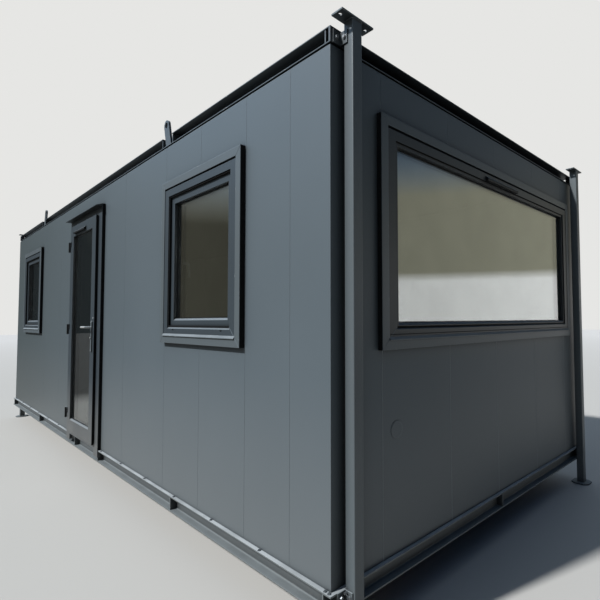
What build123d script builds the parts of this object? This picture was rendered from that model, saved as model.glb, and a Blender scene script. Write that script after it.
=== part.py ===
from build123d import *
import os

# Portable site cabin: a steel chassis and roof rails carry insulated panel walls.
# Millimetres. +X is the end with the wide window, -Y is the long front with the door, +Z is up.
# The pieces are drawn about the middle of the cabin and moved by DEPTH_SHIFT when saved,
# which puts the origin on the ground below the middle of the whole object's box.

# Cabin body
LENGTH = 7320.0
WIDTH = 3050.0
GROUND_GAP = 205.0
BODY_HEIGHT = 2507.0
WALL_T = 50.0
JOINT_W = 2.0
JOINT_D = 1.2

# Chassis
CHASSIS_DEPTH = 100.0
CHASSIS_FLANGE = 52.0
CHASSIS_FLANGE_T = 8.0
CHASSIS_WEB_T = 6.0
CHASSIS_ROOT_R = 8.0
LEDGE = 22.0
STIFFENER_T = 8.0
STIFFENER_SETBACK = 3.0
CORNER_STIFFENER = 55.0
JOIST_DEPTH = 80.0
JOIST_FLANGE = 40.0
JOIST_T = 4.0
JOIST_COUNT = 12
FLOOR_T = 25.0

# Roof
RAIL_DEPTH = 75.0
RAIL_FLANGE = 80.0
RAIL_T = 5.0
RAIL_ROOT_R = 4.0
RAIL_STRIP = 12.0
RAIL_STRIP_GAP = 38.0
SHADOW_GAP = 13.0
SHADOW_DEPTH = 12.0
ROOF_CORE = 45.0
RIB_HEIGHT = 20.0
RIB_TOP = 30.0
RIB_FOOT = 70.0
RIB_PITCH = 333.0
CEILING_T = 12.0

# Jack legs
LEG_SIZE = 60.0
LEG_WALL = 4.0
LEG_CORNER_R = 6.0
LEG_FROM_CORNER = 93.0
LEG_ABOVE_ROOF = 38.0
FOOT_SIZE = 150.0
FOOT_T = 10.0
FOOT_CLIP = 35.0
HEAD_LENGTH = 200.0
HEAD_WIDTH = 72.0
HEAD_T = 8.0
HEAD_HOLE_D = 18.0
HEAD_HOLE_SPACING = 160.0
CLEAT_SIZE = 50.0
CLEAT_T = 6.0
CLEAT_HEIGHT = 62.0

# Lifting lugs
LUG_WIDTH = 78.0
LUG_T = 16.0
LUG_HOLE_D = 44.0
LUG_ABOVE_ROOF = 139.0
LUG_LEAN = 15.0
LUG_NOTCH = 170.0
LUG_SETBACK = 10.0

# Doorway and door
DOOR_X = -18.0
LEAF_WIDTH = 866.0
LEAF_T = 60.0
LEAF_LIP_T = 17.0
LEAF_PROUD = 50.0
STILE = 110.0
BOTTOM_RAIL = 135.0
SILL_T = 30.0
LEAF_GAP = 6.0
FRAME_PROUD = 27.0
FRAME_LAP = 22.0
FRAME_BAR = 45.0
BODY_CLEARANCE = 9.0
DOOR_TRIM_WIDTH = 1060.0
DOOR_TRIM_BELOW_ROOF = 245.0
DOOR_TRIM_HEAD = 93.0
DOOR_TRIM_DROP = 60.0
CANOPY_REACH = 80.0
CANOPY_HEIGHT = 26.0
CANOPY_LIP = 5.0
DOOR_GLASS_RECESS = 20.0
HINGE_HEIGHT = 105.0
HINGE_FROM_BOTTOM = 186.0
HINGE_FROM_TOP = 212.0
HINGE_R = 9.0
HINGE_PIN_R = 4.0
HINGE_OUT_X = 12.0
HINGE_OUT_Y = 8.0
HINGE_PLATE_T = 4.0
HINGE_PLATE_W = 30.0
PIN_CLEARANCE = 0.08
SEAT = 0.3
PLATE_WIDTH = 34.0
PLATE_HEIGHT = 290.0
PLATE_T = 9.0
LEVER_HEIGHT = 1115.0
LEVER_LENGTH = 125.0
LEVER_R = 9.0
SPINDLE_HOLE_R = 12.0
LEVER_REACH = 55.0
LEVER_RETURN = 26.0
LOCK_DROP = 100.0
LOCK_R = 9.0
LOCK_PROUD = 6.0
VENT_HEIGHT = 34.0
VENT_DEPTH = 20.0
DOOR_VENT_LENGTH = 385.0
DOOR_VENT_ASIDE = 70.0

# Windows
WINDOW_SILL = 1020.0
SMALL_WINDOW_WIDTH = 1060.0
SMALL_WINDOW_BELOW_ROOF = 362.0
NEAR_WINDOW_FROM_CORNER = 715.0
FAR_WINDOW_FROM_CORNER = 615.0
WIDE_WINDOW_BELOW_ROOF = 305.0
WIDE_WINDOW_FROM_FRONT = 310.0
WIDE_WINDOW_FROM_BACK = 220.0
TRIM_FACE = 50.0
TRIM_PROUD = 31.0
NOSE_PROUD = 38.0
NOSE_HEIGHT = 14.0
NOSE_LIP = 4.0
WINDOW_FRAME_PROUD = 28.0
WINDOW_FRAME_DEPTH = 70.0
HEAD_GAP = 12.0
HEAD_GAP_DEPTH = 20.0
OPENING_FRAME_FACE = 60.0
SASH_FACE = 55.0
SASH_STEP = 20.0
SASH_DEPTH = 67.0
FIXED_FRAME_FACE = 62.0
BEAD_FACE = 21.0
SILL_BAR = 23.0
SILL_LINE = 4.0
SILL_LINE_DEPTH = 8.0
BEAD_STEP = 8.0
BEAD_DEPTH = 62.0
DRAIN_SLOPE = 12.0
WINDOW_GLASS_RECESS = 23.0
PANE_T = 4.0
PANE_GAP = 16.0
SPACER_FACE = 8.0
HANDLE_LENGTH = 105.0
HANDLE_REACH = 56.0
HANDLE_BAR = 14.0
HANDLE_WIDTH = 18.0
HANDLE_BEND = 20.0
HANDLE_LEAN = 10.0
HANDLE_PLATE_WIDTH = 28.0
HANDLE_PLATE_HEIGHT = 64.0
HANDLE_PLATE_T = 8.0
WIDE_VENT_LENGTH = 440.0

# Worked out from the sizes above
CHASSIS_TOP = GROUND_GAP + CHASSIS_DEPTH
ROOF_TOP = CHASSIS_TOP + BODY_HEIGHT
RAIL_BOTTOM = ROOF_TOP - RAIL_DEPTH
FLOOR_TOP = CHASSIS_TOP + FLOOR_T
FRONT = -WIDTH / 2
LEAF_FRONT = FRONT - LEAF_PROUD
LEAF_BACK = LEAF_FRONT + LEAF_T
FRAME_FACE = FRONT - FRAME_PROUD
LEAF_BOTTOM = CHASSIS_TOP + SILL_T + LEAF_GAP
DOOR_TRIM_TOP = ROOF_TOP - DOOR_TRIM_BELOW_ROOF
LEAF_TOP = DOOR_TRIM_TOP - DOOR_TRIM_HEAD
LEAF_HEIGHT = LEAF_TOP - LEAF_BOTTOM
LEAF_LEFT = DOOR_X - LEAF_WIDTH / 2
LEAF_RIGHT = DOOR_X + LEAF_WIDTH / 2
LOW_HINGE = LEAF_BOTTOM + HINGE_FROM_BOTTOM
HIGH_HINGE = LEAF_TOP - HINGE_FROM_TOP
HINGE_PLACES = (LOW_HINGE, (LOW_HINGE + HIGH_HINGE) / 2, HIGH_HINGE)
DOOR_CLEAR = LEAF_WIDTH - 2 * FRAME_LAP
DOOR_CLEAR_TOP = LEAF_TOP - FRAME_LAP
DOOR_OPENING = DOOR_CLEAR + 2 * FRAME_BAR
DOOR_OPENING_TOP = DOOR_CLEAR_TOP + FRAME_BAR
HINGE_X = LEAF_LEFT - HINGE_OUT_X
HINGE_Y = LEAF_FRONT - HINGE_OUT_Y
LEVER_X = LEAF_RIGHT - STILE / 2
LEVER_Z = CHASSIS_TOP + LEVER_HEIGHT
LEG_X = LENGTH / 2 + LEDGE + LEG_SIZE / 2
LEG_Y = WIDTH / 2 - LEG_FROM_CORNER
LEG_TOP = ROOF_TOP + LEG_ABOVE_ROOF - HEAD_T
WINDOW_BOTTOM = CHASSIS_TOP + WINDOW_SILL
SMALL_WINDOW_HEIGHT = ROOF_TOP - SMALL_WINDOW_BELOW_ROOF - WINDOW_BOTTOM
NEAR_WINDOW_X = LENGTH / 2 - NEAR_WINDOW_FROM_CORNER - SMALL_WINDOW_WIDTH / 2
FAR_WINDOW_X = FAR_WINDOW_FROM_CORNER + SMALL_WINDOW_WIDTH / 2 - LENGTH / 2
WIDE_WINDOW_HEIGHT = ROOF_TOP - WIDE_WINDOW_BELOW_ROOF - WINDOW_BOTTOM
WIDE_WINDOW_WIDTH = WIDTH - WIDE_WINDOW_FROM_FRONT - WIDE_WINDOW_FROM_BACK
WIDE_WINDOW_Y = (WIDE_WINDOW_FROM_FRONT - WIDE_WINDOW_FROM_BACK) / 2
SASH_BORDER = TRIM_FACE + OPENING_FRAME_FACE + SASH_FACE
BEAD_BORDER = TRIM_FACE + FIXED_FRAME_FACE + BEAD_FACE
DEPTH_SHIFT = (LEAF_PROUD + LEVER_REACH + LEVER_R - LEDGE) / 2

# Turn about +Z that takes a piece drawn at the front to its own side
TURN = {"front": 0, "right": 90, "back": 180, "left": 270}
HALF_RUN = {"front": LENGTH / 2, "right": WIDTH / 2, "back": LENGTH / 2, "left": WIDTH / 2}
HALF_ACROSS = {"front": WIDTH / 2, "right": LENGTH / 2, "back": WIDTH / 2, "left": LENGTH / 2}

# Places along the front, from the middle of the cabin
FRONT_STIFFENERS = (2062.0, 495.0, -261.0, -1894.0)
LUG_PLACES = (1882.0, -2047.0)
FRONT_JOINTS = (3362.0, 2956.0, 2417.0, 1884.0, 1054.0, -1063.0, -1818.0)
END_JOINTS = (-1186.0, -586.0, -11.0, 613.0, 1213.0)
PANEL_WIDTH = 600.0


def save(name, *solids):
    """Write one node, moved so that the origin is below the middle of the whole box."""
    placed = [Pos(0, DEPTH_SHIFT, 0) * solid for solid in solids]
    shape = placed[0] if len(placed) == 1 else Compound(children=placed)
    export_step(shape, f"parts/{name}.step")


def block(x0, x1, y0, y1, z0, z1):
    """Straight-sided block between two corners."""
    size = Box(x1 - x0, y1 - y0, z1 - z0)
    return Pos((x0 + x1) / 2, (y0 + y1) / 2, (z0 + z1) / 2) * size


def turned(side, solid):
    """Take a piece drawn at the front to another side of the cabin."""
    return Rot(0, 0, TURN[side]) * solid


def mitre_wedge(half_run, face, depth, bottom, top):
    """Prism whose ends run at 45 degrees from the corners of the cabin."""
    outline = Polyline(
        (-half_run, -face),
        (half_run, -face),
        (half_run - depth, -face + depth),
        (-half_run + depth, -face + depth),
        close=True,
    )
    return Pos(0, 0, bottom) * extrude(make_face(outline), amount=top - bottom)


def channel_section(face, bottom, depth, flange, flange_t, web_t, root_r=0.0):
    """Channel open to the outside; a rolled one has rounded roots where its flanges meet the web."""
    body = Pos(-face + flange / 2, bottom + depth / 2) * Rectangle(flange, depth)
    hollow_width = flange - web_t
    hollow = Pos(-face + hollow_width / 2, bottom + depth / 2) * Rectangle(hollow_width, depth - 2 * flange_t)
    if root_r > 0:
        hollow = fillet(hollow.vertices().group_by(Axis.X)[-1], root_r)
    return Plane.YZ * (body - hollow)


def ring(width, height, bar, front, back, bottom_bar=None):
    """Upright rectangular ring about x = 0, standing on z = 0, between two depths."""
    lower = bar if bottom_bar is None else bottom_bar
    outer = block(-width / 2, width / 2, front, back, 0, height)
    inner = block(-width / 2 + bar, width / 2 - bar, front, back, lower, height - bar)
    return outer - inner


def chassis_member(side):
    """Outward-facing channel of one side, mitred at the corners, with stiffener plates."""
    face = HALF_ACROSS[side] + LEDGE
    half_run = HALF_RUN[side] + LEDGE
    section = channel_section(
        face, GROUND_GAP, CHASSIS_DEPTH, CHASSIS_FLANGE, CHASSIS_FLANGE_T, CHASSIS_WEB_T, CHASSIS_ROOT_R
    )
    bar = extrude(section, amount=half_run, both=True)
    corner_places = (half_run - CORNER_STIFFENER, CORNER_STIFFENER - half_run)
    middle_places = {"front": FRONT_STIFFENERS, "back": [-x for x in FRONT_STIFFENERS]}
    for x in (*corner_places, *middle_places.get(side, (0.0,))):
        bar += block(
            x - STIFFENER_T / 2,
            x + STIFFENER_T / 2,
            -face + STIFFENER_SETBACK,
            -face + CHASSIS_FLANGE - CHASSIS_WEB_T,
            GROUND_GAP + CHASSIS_FLANGE_T,
            CHASSIS_TOP - CHASSIS_FLANGE_T,
        )
    bar &= mitre_wedge(half_run, face, CHASSIS_FLANGE, GROUND_GAP, CHASSIS_TOP)
    if side == "front":
        bar -= door_ledge_notch()
        bar -= door_frame()
    return turned(side, bar)


def door_ledge_notch():
    """Room in the chassis ledge for the door trim, which runs down past it."""
    return block(
        DOOR_X - DOOR_TRIM_WIDTH / 2,
        DOOR_X + DOOR_TRIM_WIDTH / 2,
        FRONT - LEDGE,
        FRONT,
        CHASSIS_TOP - CHASSIS_FLANGE_T,
        CHASSIS_TOP,
    )


def chassis_joists():
    """Channel joists between the webs of the two long chassis members."""
    reach = WIDTH / 2 + LEDGE - CHASSIS_FLANGE
    section = channel_section(
        JOIST_FLANGE / 2, CHASSIS_TOP - JOIST_DEPTH, JOIST_DEPTH, JOIST_FLANGE, JOIST_T, JOIST_T
    )
    joist = Rot(0, 0, 90) * extrude(section, amount=reach, both=True)
    span = LENGTH + 2 * LEDGE - 2 * CHASSIS_FLANGE
    pitch = span / (JOIST_COUNT + 1)
    return [Pos(-span / 2 + pitch * (index + 1), 0, 0) * joist for index in range(JOIST_COUNT)]


def floor_deck():
    """Floor board between the inner faces of the walls."""
    half_length = LENGTH / 2 - WALL_T
    half_width = WIDTH / 2 - WALL_T
    return block(-half_length, half_length, -half_width, half_width, CHASSIS_TOP, FLOOR_TOP)


def wall_panel(side, joints):
    """Full side wall, mitred at the corners, with panel joints and the dark recess below the rail."""
    face = HALF_ACROSS[side]
    half_run = HALF_RUN[side]
    wall = mitre_wedge(half_run, face, WALL_T, CHASSIS_TOP, RAIL_BOTTOM)
    wall -= block(-half_run, half_run, -face, -face + SHADOW_DEPTH, RAIL_BOTTOM - SHADOW_GAP, RAIL_BOTTOM)
    for x in joints:
        wall -= block(
            x - JOINT_W / 2, x + JOINT_W / 2, -face, -face + JOINT_D, CHASSIS_TOP, RAIL_BOTTOM - SHADOW_GAP
        )
    return wall


def window_opening(centre, width, height, face):
    """Hole through a wall for a window frame, behind its trim."""
    half = width / 2 - TRIM_FACE
    bottom = WINDOW_BOTTOM + TRIM_FACE
    top = WINDOW_BOTTOM + height - TRIM_FACE
    return block(centre - half, centre + half, -face, -face + WALL_T, bottom, top)


def front_walls():
    """Front wall split beside and over the doorway."""
    wall = wall_panel("front", FRONT_JOINTS)
    for centre in (NEAR_WINDOW_X, FAR_WINDOW_X):
        wall -= window_opening(centre, SMALL_WINDOW_WIDTH, SMALL_WINDOW_HEIGHT, WIDTH / 2)
    left_edge = DOOR_X - DOOR_OPENING / 2
    right_edge = DOOR_X + DOOR_OPENING / 2
    back = FRONT + WALL_T
    left = wall & block(-LENGTH / 2, left_edge, FRONT, back, CHASSIS_TOP, RAIL_BOTTOM)
    right = wall & block(right_edge, LENGTH / 2, FRONT, back, CHASSIS_TOP, RAIL_BOTTOM)
    over = wall & block(left_edge, right_edge, FRONT, back, DOOR_OPENING_TOP, RAIL_BOTTOM)
    return left, right, over


def even_joints(half_run):
    """Panel joints at one panel width apart, from the middle of a side."""
    count = int(half_run // PANEL_WIDTH)
    return [PANEL_WIDTH * step for step in range(-count, count + 1)]


def roof_rail(side):
    """Outward-facing roof channel of one side, flush with the wall below."""
    face = HALF_ACROSS[side]
    half_run = HALF_RUN[side]
    section = channel_section(face, RAIL_BOTTOM, RAIL_DEPTH, RAIL_FLANGE, RAIL_T, RAIL_T, RAIL_ROOT_R)
    bar = extrude(section, amount=half_run, both=True)
    plate_y = (-face + STIFFENER_SETBACK, -face + RAIL_FLANGE - RAIL_T)
    plate_z = (RAIL_BOTTOM + RAIL_T, ROOF_TOP - RAIL_T)
    plates = []
    for end in (-1, 1):
        plates.append(end * (half_run - RAIL_STRIP_GAP))
    if side in ("front", "back"):
        for x in lug_places(side):
            plates.extend((x - LUG_NOTCH / 2, x + LUG_NOTCH / 2))
    for x in plates:
        bar += block(x - STIFFENER_T / 2, x + STIFFENER_T / 2, *plate_y, *plate_z)
    for end in (-1, 1):
        edge = end * (half_run - RAIL_STRIP)
        corner = sorted((edge, end * half_run))
        bar += block(*corner, -face, -face + RAIL_FLANGE - RAIL_T, *plate_z)
    bar &= mitre_wedge(half_run, face, RAIL_FLANGE, RAIL_BOTTOM, ROOF_TOP)
    if side in ("front", "back"):
        for x in lug_places(side):
            half_notch = (LUG_NOTCH - STIFFENER_T) / 2
            notch_y = (-face, -face + RAIL_FLANGE - RAIL_T)
            bar -= block(x - half_notch, x + half_notch, *notch_y, ROOF_TOP - RAIL_T, ROOF_TOP)
    return turned(side, bar)


def lug_places(side):
    """Lugs stand opposite each other, so the back's places are mirrored before it is turned."""
    return LUG_PLACES if side == "front" else [-x for x in LUG_PLACES]


def lifting_lug(x, side):
    """Leaning eye plate that stands on the rail's lower flange and passes its notch."""
    lean = LUG_LEAN if x > 0 else -LUG_LEAN
    foot = RAIL_BOTTOM + RAIL_T
    height = ROOF_TOP + LUG_ABOVE_ROOF - foot
    eye = height - LUG_WIDTH / 2
    outline = Pos(0, eye / 2 - LUG_WIDTH / 2) * Rectangle(LUG_WIDTH, eye + LUG_WIDTH)
    outline += Pos(0, eye) * Circle(LUG_WIDTH / 2)
    outline -= Pos(0, eye) * Circle(LUG_HOLE_D / 2)
    front = -HALF_ACROSS[side] + LUG_SETBACK
    plate = extrude(Plane.XZ * Rot(0, 0, lean) * outline, amount=-LUG_T)
    plate = Pos(x, front, foot) * plate
    keep = block(x - height, x + height, front, front + LUG_T, foot, foot + 2 * height)
    return turned(side, plate & keep)


def roof_deck():
    """Insulated roof panel with trapezoid ribs that run across the cabin."""
    half_length = LENGTH / 2 - RAIL_FLANGE
    half_width = WIDTH / 2 - RAIL_FLANGE
    core_top = RAIL_BOTTOM + ROOF_CORE
    deck = block(-half_length, half_length, -half_width, half_width, RAIL_BOTTOM, core_top)
    rib_outline = Polyline(
        (-RIB_FOOT / 2, core_top),
        (RIB_FOOT / 2, core_top),
        (RIB_TOP / 2, core_top + RIB_HEIGHT),
        (-RIB_TOP / 2, core_top + RIB_HEIGHT),
        close=True,
    )
    rib = extrude(Plane.XZ * make_face(rib_outline), amount=half_width, both=True)
    count = int((half_length - RIB_FOOT) // RIB_PITCH)
    for step in range(-count, count + 1):
        deck += Pos(step * RIB_PITCH, 0, 0) * rib
    return deck


def ceiling():
    """Lining board below the roof panel, between the walls."""
    half_length = LENGTH / 2 - WALL_T
    half_width = WIDTH / 2 - WALL_T
    return block(-half_length, half_length, -half_width, half_width, RAIL_BOTTOM - CEILING_T, RAIL_BOTTOM)


def jack_leg(end, across):
    """Square tube leg with a clipped foot plate and a drilled head plate."""
    outline = RectangleRounded(LEG_SIZE, LEG_SIZE, LEG_CORNER_R)
    bore = Rectangle(LEG_SIZE - 2 * LEG_WALL, LEG_SIZE - 2 * LEG_WALL)
    tube = Pos(0, 0, FOOT_T) * extrude(outline - bore, amount=LEG_TOP - FOOT_T)
    foot_outline = chamfer(Rectangle(FOOT_SIZE, FOOT_SIZE).vertices(), FOOT_CLIP)
    head_outline = Rectangle(HEAD_WIDTH, HEAD_LENGTH)
    for offset in (-HEAD_HOLE_SPACING / 2, HEAD_HOLE_SPACING / 2):
        head_outline -= Pos(0, offset) * Circle(HEAD_HOLE_D / 2)
    leg = tube + extrude(foot_outline, amount=FOOT_T)
    leg += Pos(0, 0, LEG_TOP) * extrude(head_outline, amount=HEAD_T)
    return Pos(end * LEG_X, across * LEG_Y, 0) * leg


def leg_cleat(end, across, wall_face, bottom, height):
    """Angle cleat that bolts the outer side of a leg to the steel behind it."""
    outline = Rectangle(CLEAT_SIZE, CLEAT_SIZE, align=Align.MIN)
    outline -= Pos(CLEAT_T, CLEAT_T) * Rectangle(CLEAT_SIZE, CLEAT_SIZE, align=Align.MIN)
    angle = Pos(0, 0, bottom) * extrude(outline, amount=height)
    angle = Pos(wall_face, LEG_Y + LEG_SIZE / 2, 0) * angle
    if across < 0:
        angle = mirror(angle, about=Plane.XZ)
    return angle if end > 0 else mirror(angle, about=Plane.YZ)


def leg_cleats():
    """Cleats at the roof rail and at the chassis, on the outer side of each leg."""
    cleats = []
    for end in (-1, 1):
        for across in (-1, 1):
            cleats.append(leg_cleat(end, across, LENGTH / 2, RAIL_BOTTOM, CLEAT_HEIGHT))
            cleats.append(leg_cleat(end, across, LENGTH / 2 + LEDGE, GROUND_GAP, CHASSIS_DEPTH))
    return cleats


def draining(bar, half, front, top):
    """Slope the upper front edge of a bottom bar, so that it sheds rain."""
    outline = Polyline((front, top - DRAIN_SLOPE), (front, top), (front + DRAIN_SLOPE, top), close=True)
    return bar - extrude(Plane.YZ * make_face(outline), amount=half, both=True)


def window_trim(width, height):
    """Folded trim round a window, with a sloped nose on its sill."""
    half = width / 2 - TRIM_FACE
    trim = ring(width, height, TRIM_FACE, -TRIM_PROUD, 0)
    nose = Polyline(
        (-TRIM_PROUD, TRIM_FACE - NOSE_LIP),
        (-NOSE_PROUD, TRIM_FACE - NOSE_LIP),
        (-NOSE_PROUD, TRIM_FACE),
        (-WINDOW_FRAME_PROUD, TRIM_FACE + NOSE_HEIGHT),
        (-WINDOW_FRAME_PROUD, TRIM_FACE),
        (-TRIM_PROUD, TRIM_FACE),
        close=True,
    )
    return trim + extrude(Plane.YZ * make_face(nose), amount=half, both=True)


def window_frame(width, height, face, inner_face, step, depth, sill_bar):
    """Fixed bars with a gap above their head, the sash or bead inside them, and the spacer of the glass."""
    front = -WINDOW_FRAME_PROUD
    outer_width = width - 2 * TRIM_FACE
    outer_height = height - 2 * TRIM_FACE
    frame = ring(outer_width, outer_height, face, front, front + WINDOW_FRAME_DEPTH)
    frame = draining(frame, outer_width / 2 - face, front, face)
    gap_bottom = outer_height - HEAD_GAP
    frame -= block(-outer_width / 2, outer_width / 2, front, front + HEAD_GAP_DEPTH, gap_bottom, outer_height)
    if sill_bar > 0:
        line_back = front + SILL_LINE_DEPTH
        frame -= block(-outer_width / 2, outer_width / 2, front, line_back, sill_bar, sill_bar + SILL_LINE)
    sash_width = outer_width - 2 * face
    sash_height = outer_height - 2 * face
    sash = ring(sash_width, sash_height, inner_face, front + step, front + step + depth)
    sash = draining(sash, sash_width / 2 - inner_face, front + step, inner_face)
    glass_width = sash_width - 2 * inner_face
    glass_height = sash_height - 2 * inner_face
    between_panes = front + step + WINDOW_GLASS_RECESS + PANE_T
    spacer = ring(glass_width, glass_height, SPACER_FACE, between_panes, between_panes + PANE_GAP)
    frame += Pos(0, 0, face) * (sash + Pos(0, 0, inner_face) * spacer)
    return Pos(0, 0, TRIM_FACE) * frame


def sealed_unit(half, front, bottom, top):
    """The two panes of a sealed glass unit about x = 0."""
    outer = block(-half, half, front, front + PANE_T, bottom, top)
    return [outer, Pos(0, PANE_T + PANE_GAP, 0) * outer]


def window(prefix, side, centre, width, height, border, inner):
    """Trim, frame and glass of one window, as three nodes."""
    place = Pos(centre, -HALF_ACROSS[side], WINDOW_BOTTOM)
    glass_front = -WINDOW_FRAME_PROUD + inner[2] + WINDOW_GLASS_RECESS
    panes = sealed_unit(width / 2 - border, glass_front, border, height - border)
    save(f"{prefix}_trim", turned(side, place * window_trim(width, height)))
    save(f"{prefix}_frame", turned(side, place * window_frame(width, height, *inner)))
    save(f"{prefix}_glass", *[turned(side, place * pane) for pane in panes])


def window_handle(centre):
    """Cranked handle on the stile of an opening window: a plate, a neck and a grip that leans inward."""
    stile = centre - SMALL_WINDOW_WIDTH / 2 + SASH_BORDER - SASH_FACE / 2
    inner = FRONT - WINDOW_FRAME_PROUD + SASH_STEP + SASH_DEPTH
    height = WINDOW_BOTTOM + SMALL_WINDOW_HEIGHT / 2
    grip = Polyline(
        (0, 0),
        (HANDLE_REACH, 0),
        (HANDLE_REACH + HANDLE_LEAN, -HANDLE_LENGTH),
        (HANDLE_REACH + HANDLE_LEAN - HANDLE_BAR, -HANDLE_LENGTH),
        (HANDLE_REACH - HANDLE_BAR, -HANDLE_BAR),
        (0, -HANDLE_BAR),
        close=True,
    )
    side_view = make_face(grip)
    side_view = fillet(side_view.vertices().group_by(Axis.Y)[-1].sort_by(Axis.X)[-1], HANDLE_BEND)
    handle = extrude(Plane.YZ * side_view, amount=HANDLE_WIDTH / 2, both=True)
    plate = SlotOverall(HANDLE_PLATE_HEIGHT, HANDLE_PLATE_WIDTH, rotation=90)
    handle += Pos(0, 0, -HANDLE_BAR / 2) * extrude(Plane.XZ * plate, amount=-HANDLE_PLATE_T)
    return Pos(stile, inner, height) * handle


def door_frame():
    """Frame lining the doorway, with the trim in front of the wall that laps down over the chassis."""
    inner = DOOR_CLEAR / 2
    outer = DOOR_OPENING / 2
    frame = block(-outer, outer, FRAME_FACE, FRONT + WALL_T, CHASSIS_TOP, DOOR_OPENING_TOP)
    frame += block(
        -DOOR_TRIM_WIDTH / 2,
        DOOR_TRIM_WIDTH / 2,
        FRAME_FACE,
        FRONT,
        CHASSIS_TOP - DOOR_TRIM_DROP,
        DOOR_TRIM_TOP,
    )
    frame -= block(-inner, inner, FRAME_FACE, FRONT + WALL_T, CHASSIS_TOP - DOOR_TRIM_DROP, DOOR_CLEAR_TOP)
    return Pos(DOOR_X, 0, 0) * frame


def door_canopy():
    """Drip canopy over the door, sloped on top."""
    top = DOOR_TRIM_TOP
    outline = Polyline(
        (FRAME_FACE, top),
        (FRONT - CANOPY_REACH, top - CANOPY_HEIGHT + CANOPY_LIP),
        (FRONT - CANOPY_REACH, top - CANOPY_HEIGHT),
        (FRAME_FACE, top - CANOPY_HEIGHT),
        close=True,
    )
    half = DOOR_TRIM_WIDTH / 2
    return Pos(DOOR_X, 0, 0) * extrude(Plane.YZ * make_face(outline), amount=half, both=True)


def door_threshold():
    """Sill between the door jambs, from the front of the frame to the room."""
    half = DOOR_CLEAR / 2
    back = FRONT + WALL_T
    return block(DOOR_X - half, DOOR_X + half, FRAME_FACE, back, CHASSIS_TOP, CHASSIS_TOP + SILL_T)


def door_leaf():
    """Glazed leaf: a front lip that laps the frame and a body inside it, drilled for the spindle."""
    lip = ring(LEAF_WIDTH, LEAF_HEIGHT, STILE, LEAF_FRONT, LEAF_FRONT + LEAF_LIP_T, BOTTOM_RAIL)
    lip = draining(lip, LEAF_WIDTH / 2 - STILE, LEAF_FRONT, BOTTOM_RAIL)
    inset = FRAME_LAP + BODY_CLEARANCE
    body_width = LEAF_WIDTH - 2 * inset
    body_bottom = LEAF_GAP
    body = ring(
        body_width,
        LEAF_HEIGHT - inset - body_bottom,
        STILE - inset,
        LEAF_FRONT + LEAF_LIP_T,
        LEAF_BACK,
        BOTTOM_RAIL - body_bottom,
    )
    between_panes = LEAF_FRONT + DOOR_GLASS_RECESS + PANE_T
    spacer = ring(
        LEAF_WIDTH - 2 * STILE,
        LEAF_HEIGHT - STILE - BOTTOM_RAIL,
        SPACER_FACE,
        between_panes,
        between_panes + PANE_GAP,
    )
    leaf = lip + Pos(0, 0, body_bottom) * body + Pos(0, 0, BOTTOM_RAIL) * spacer
    leaf = Pos(DOOR_X, 0, LEAF_BOTTOM) * leaf
    spindle_hole = Rot(90, 0, 0) * Cylinder(SPINDLE_HOLE_R, LEAF_T)
    return leaf - Pos(LEVER_X, LEAF_FRONT + LEAF_T / 2, LEVER_Z) * spindle_hole


def door_glass():
    """The two panes of the door."""
    front = LEAF_FRONT + DOOR_GLASS_RECESS
    panes = sealed_unit(LEAF_WIDTH / 2 - STILE, front, LEAF_BOTTOM + BOTTOM_RAIL, LEAF_TOP - STILE)
    return [Pos(DOOR_X, 0, 0) * pane for pane in panes]


def lock_plate(front, outward):
    """Long plate with rounded ends, bored for the lever, with the lock cylinder below."""
    lever_up = (PLATE_HEIGHT - PLATE_WIDTH) / 2 - PLATE_WIDTH - LEVER_R
    outline = SlotOverall(PLATE_HEIGHT, PLATE_WIDTH, rotation=90)
    outline -= Pos(0, lever_up) * Circle(LEVER_R + PIN_CLEARANCE)
    plate = extrude(outline, amount=PLATE_T)
    plate += Pos(0, lever_up - LOCK_DROP, 0) * extrude(Circle(LOCK_R), amount=PLATE_T + LOCK_PROUD)
    facing = Plane(origin=(LEVER_X, front, LEVER_Z), x_dir=(-outward, 0, 0), z_dir=(0, outward, 0))
    return facing * (Pos(0, -lever_up, 0) * plate)


def door_lever():
    """Mitred tube levers inside and outside on one spindle, each returned towards the leaf."""
    path = Polyline(
        (0, 0, 0),
        (0, -LEVER_REACH, 0),
        (-LEVER_LENGTH, -LEVER_REACH, 0),
        (-LEVER_LENGTH, -LEVER_REACH + LEVER_RETURN, 0),
    )
    outside = sweep(Plane.XZ * Circle(LEVER_R), path=path, transition=Transition.RIGHT)
    lever = Pos(0, LEAF_FRONT, 0) * outside
    lever += Pos(0, LEAF_BACK, 0) * mirror(outside, about=Plane.XZ)
    lever += Pos(0, LEAF_FRONT + LEAF_T / 2, 0) * Rot(90, 0, 0) * Cylinder(LEVER_R, LEAF_T)
    return Pos(LEVER_X, 0, LEVER_Z) * lever


def frame_hinge(middle):
    """Frame half of a hinge: arm and lower knuckle, with the pin standing in it."""
    half = HINGE_HEIGHT / 2
    knuckle = Cylinder(HINGE_R, half, align=(Align.CENTER, Align.CENTER, Align.MAX))
    pin = Cylinder(HINGE_PIN_R, half - HINGE_PLATE_T, align=(Align.CENTER, Align.CENTER, Align.MIN))
    depth = FRAME_FACE - HINGE_Y
    arm = block(-HINGE_R, -HINGE_R + HINGE_PLATE_T, 0, depth, -half, 0)
    foot = block(-HINGE_R - HINGE_PLATE_W, -HINGE_R, depth - HINGE_PLATE_T, depth, -half, 0)
    return Pos(HINGE_X, HINGE_Y, middle) * (knuckle + pin + arm + foot)


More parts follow.
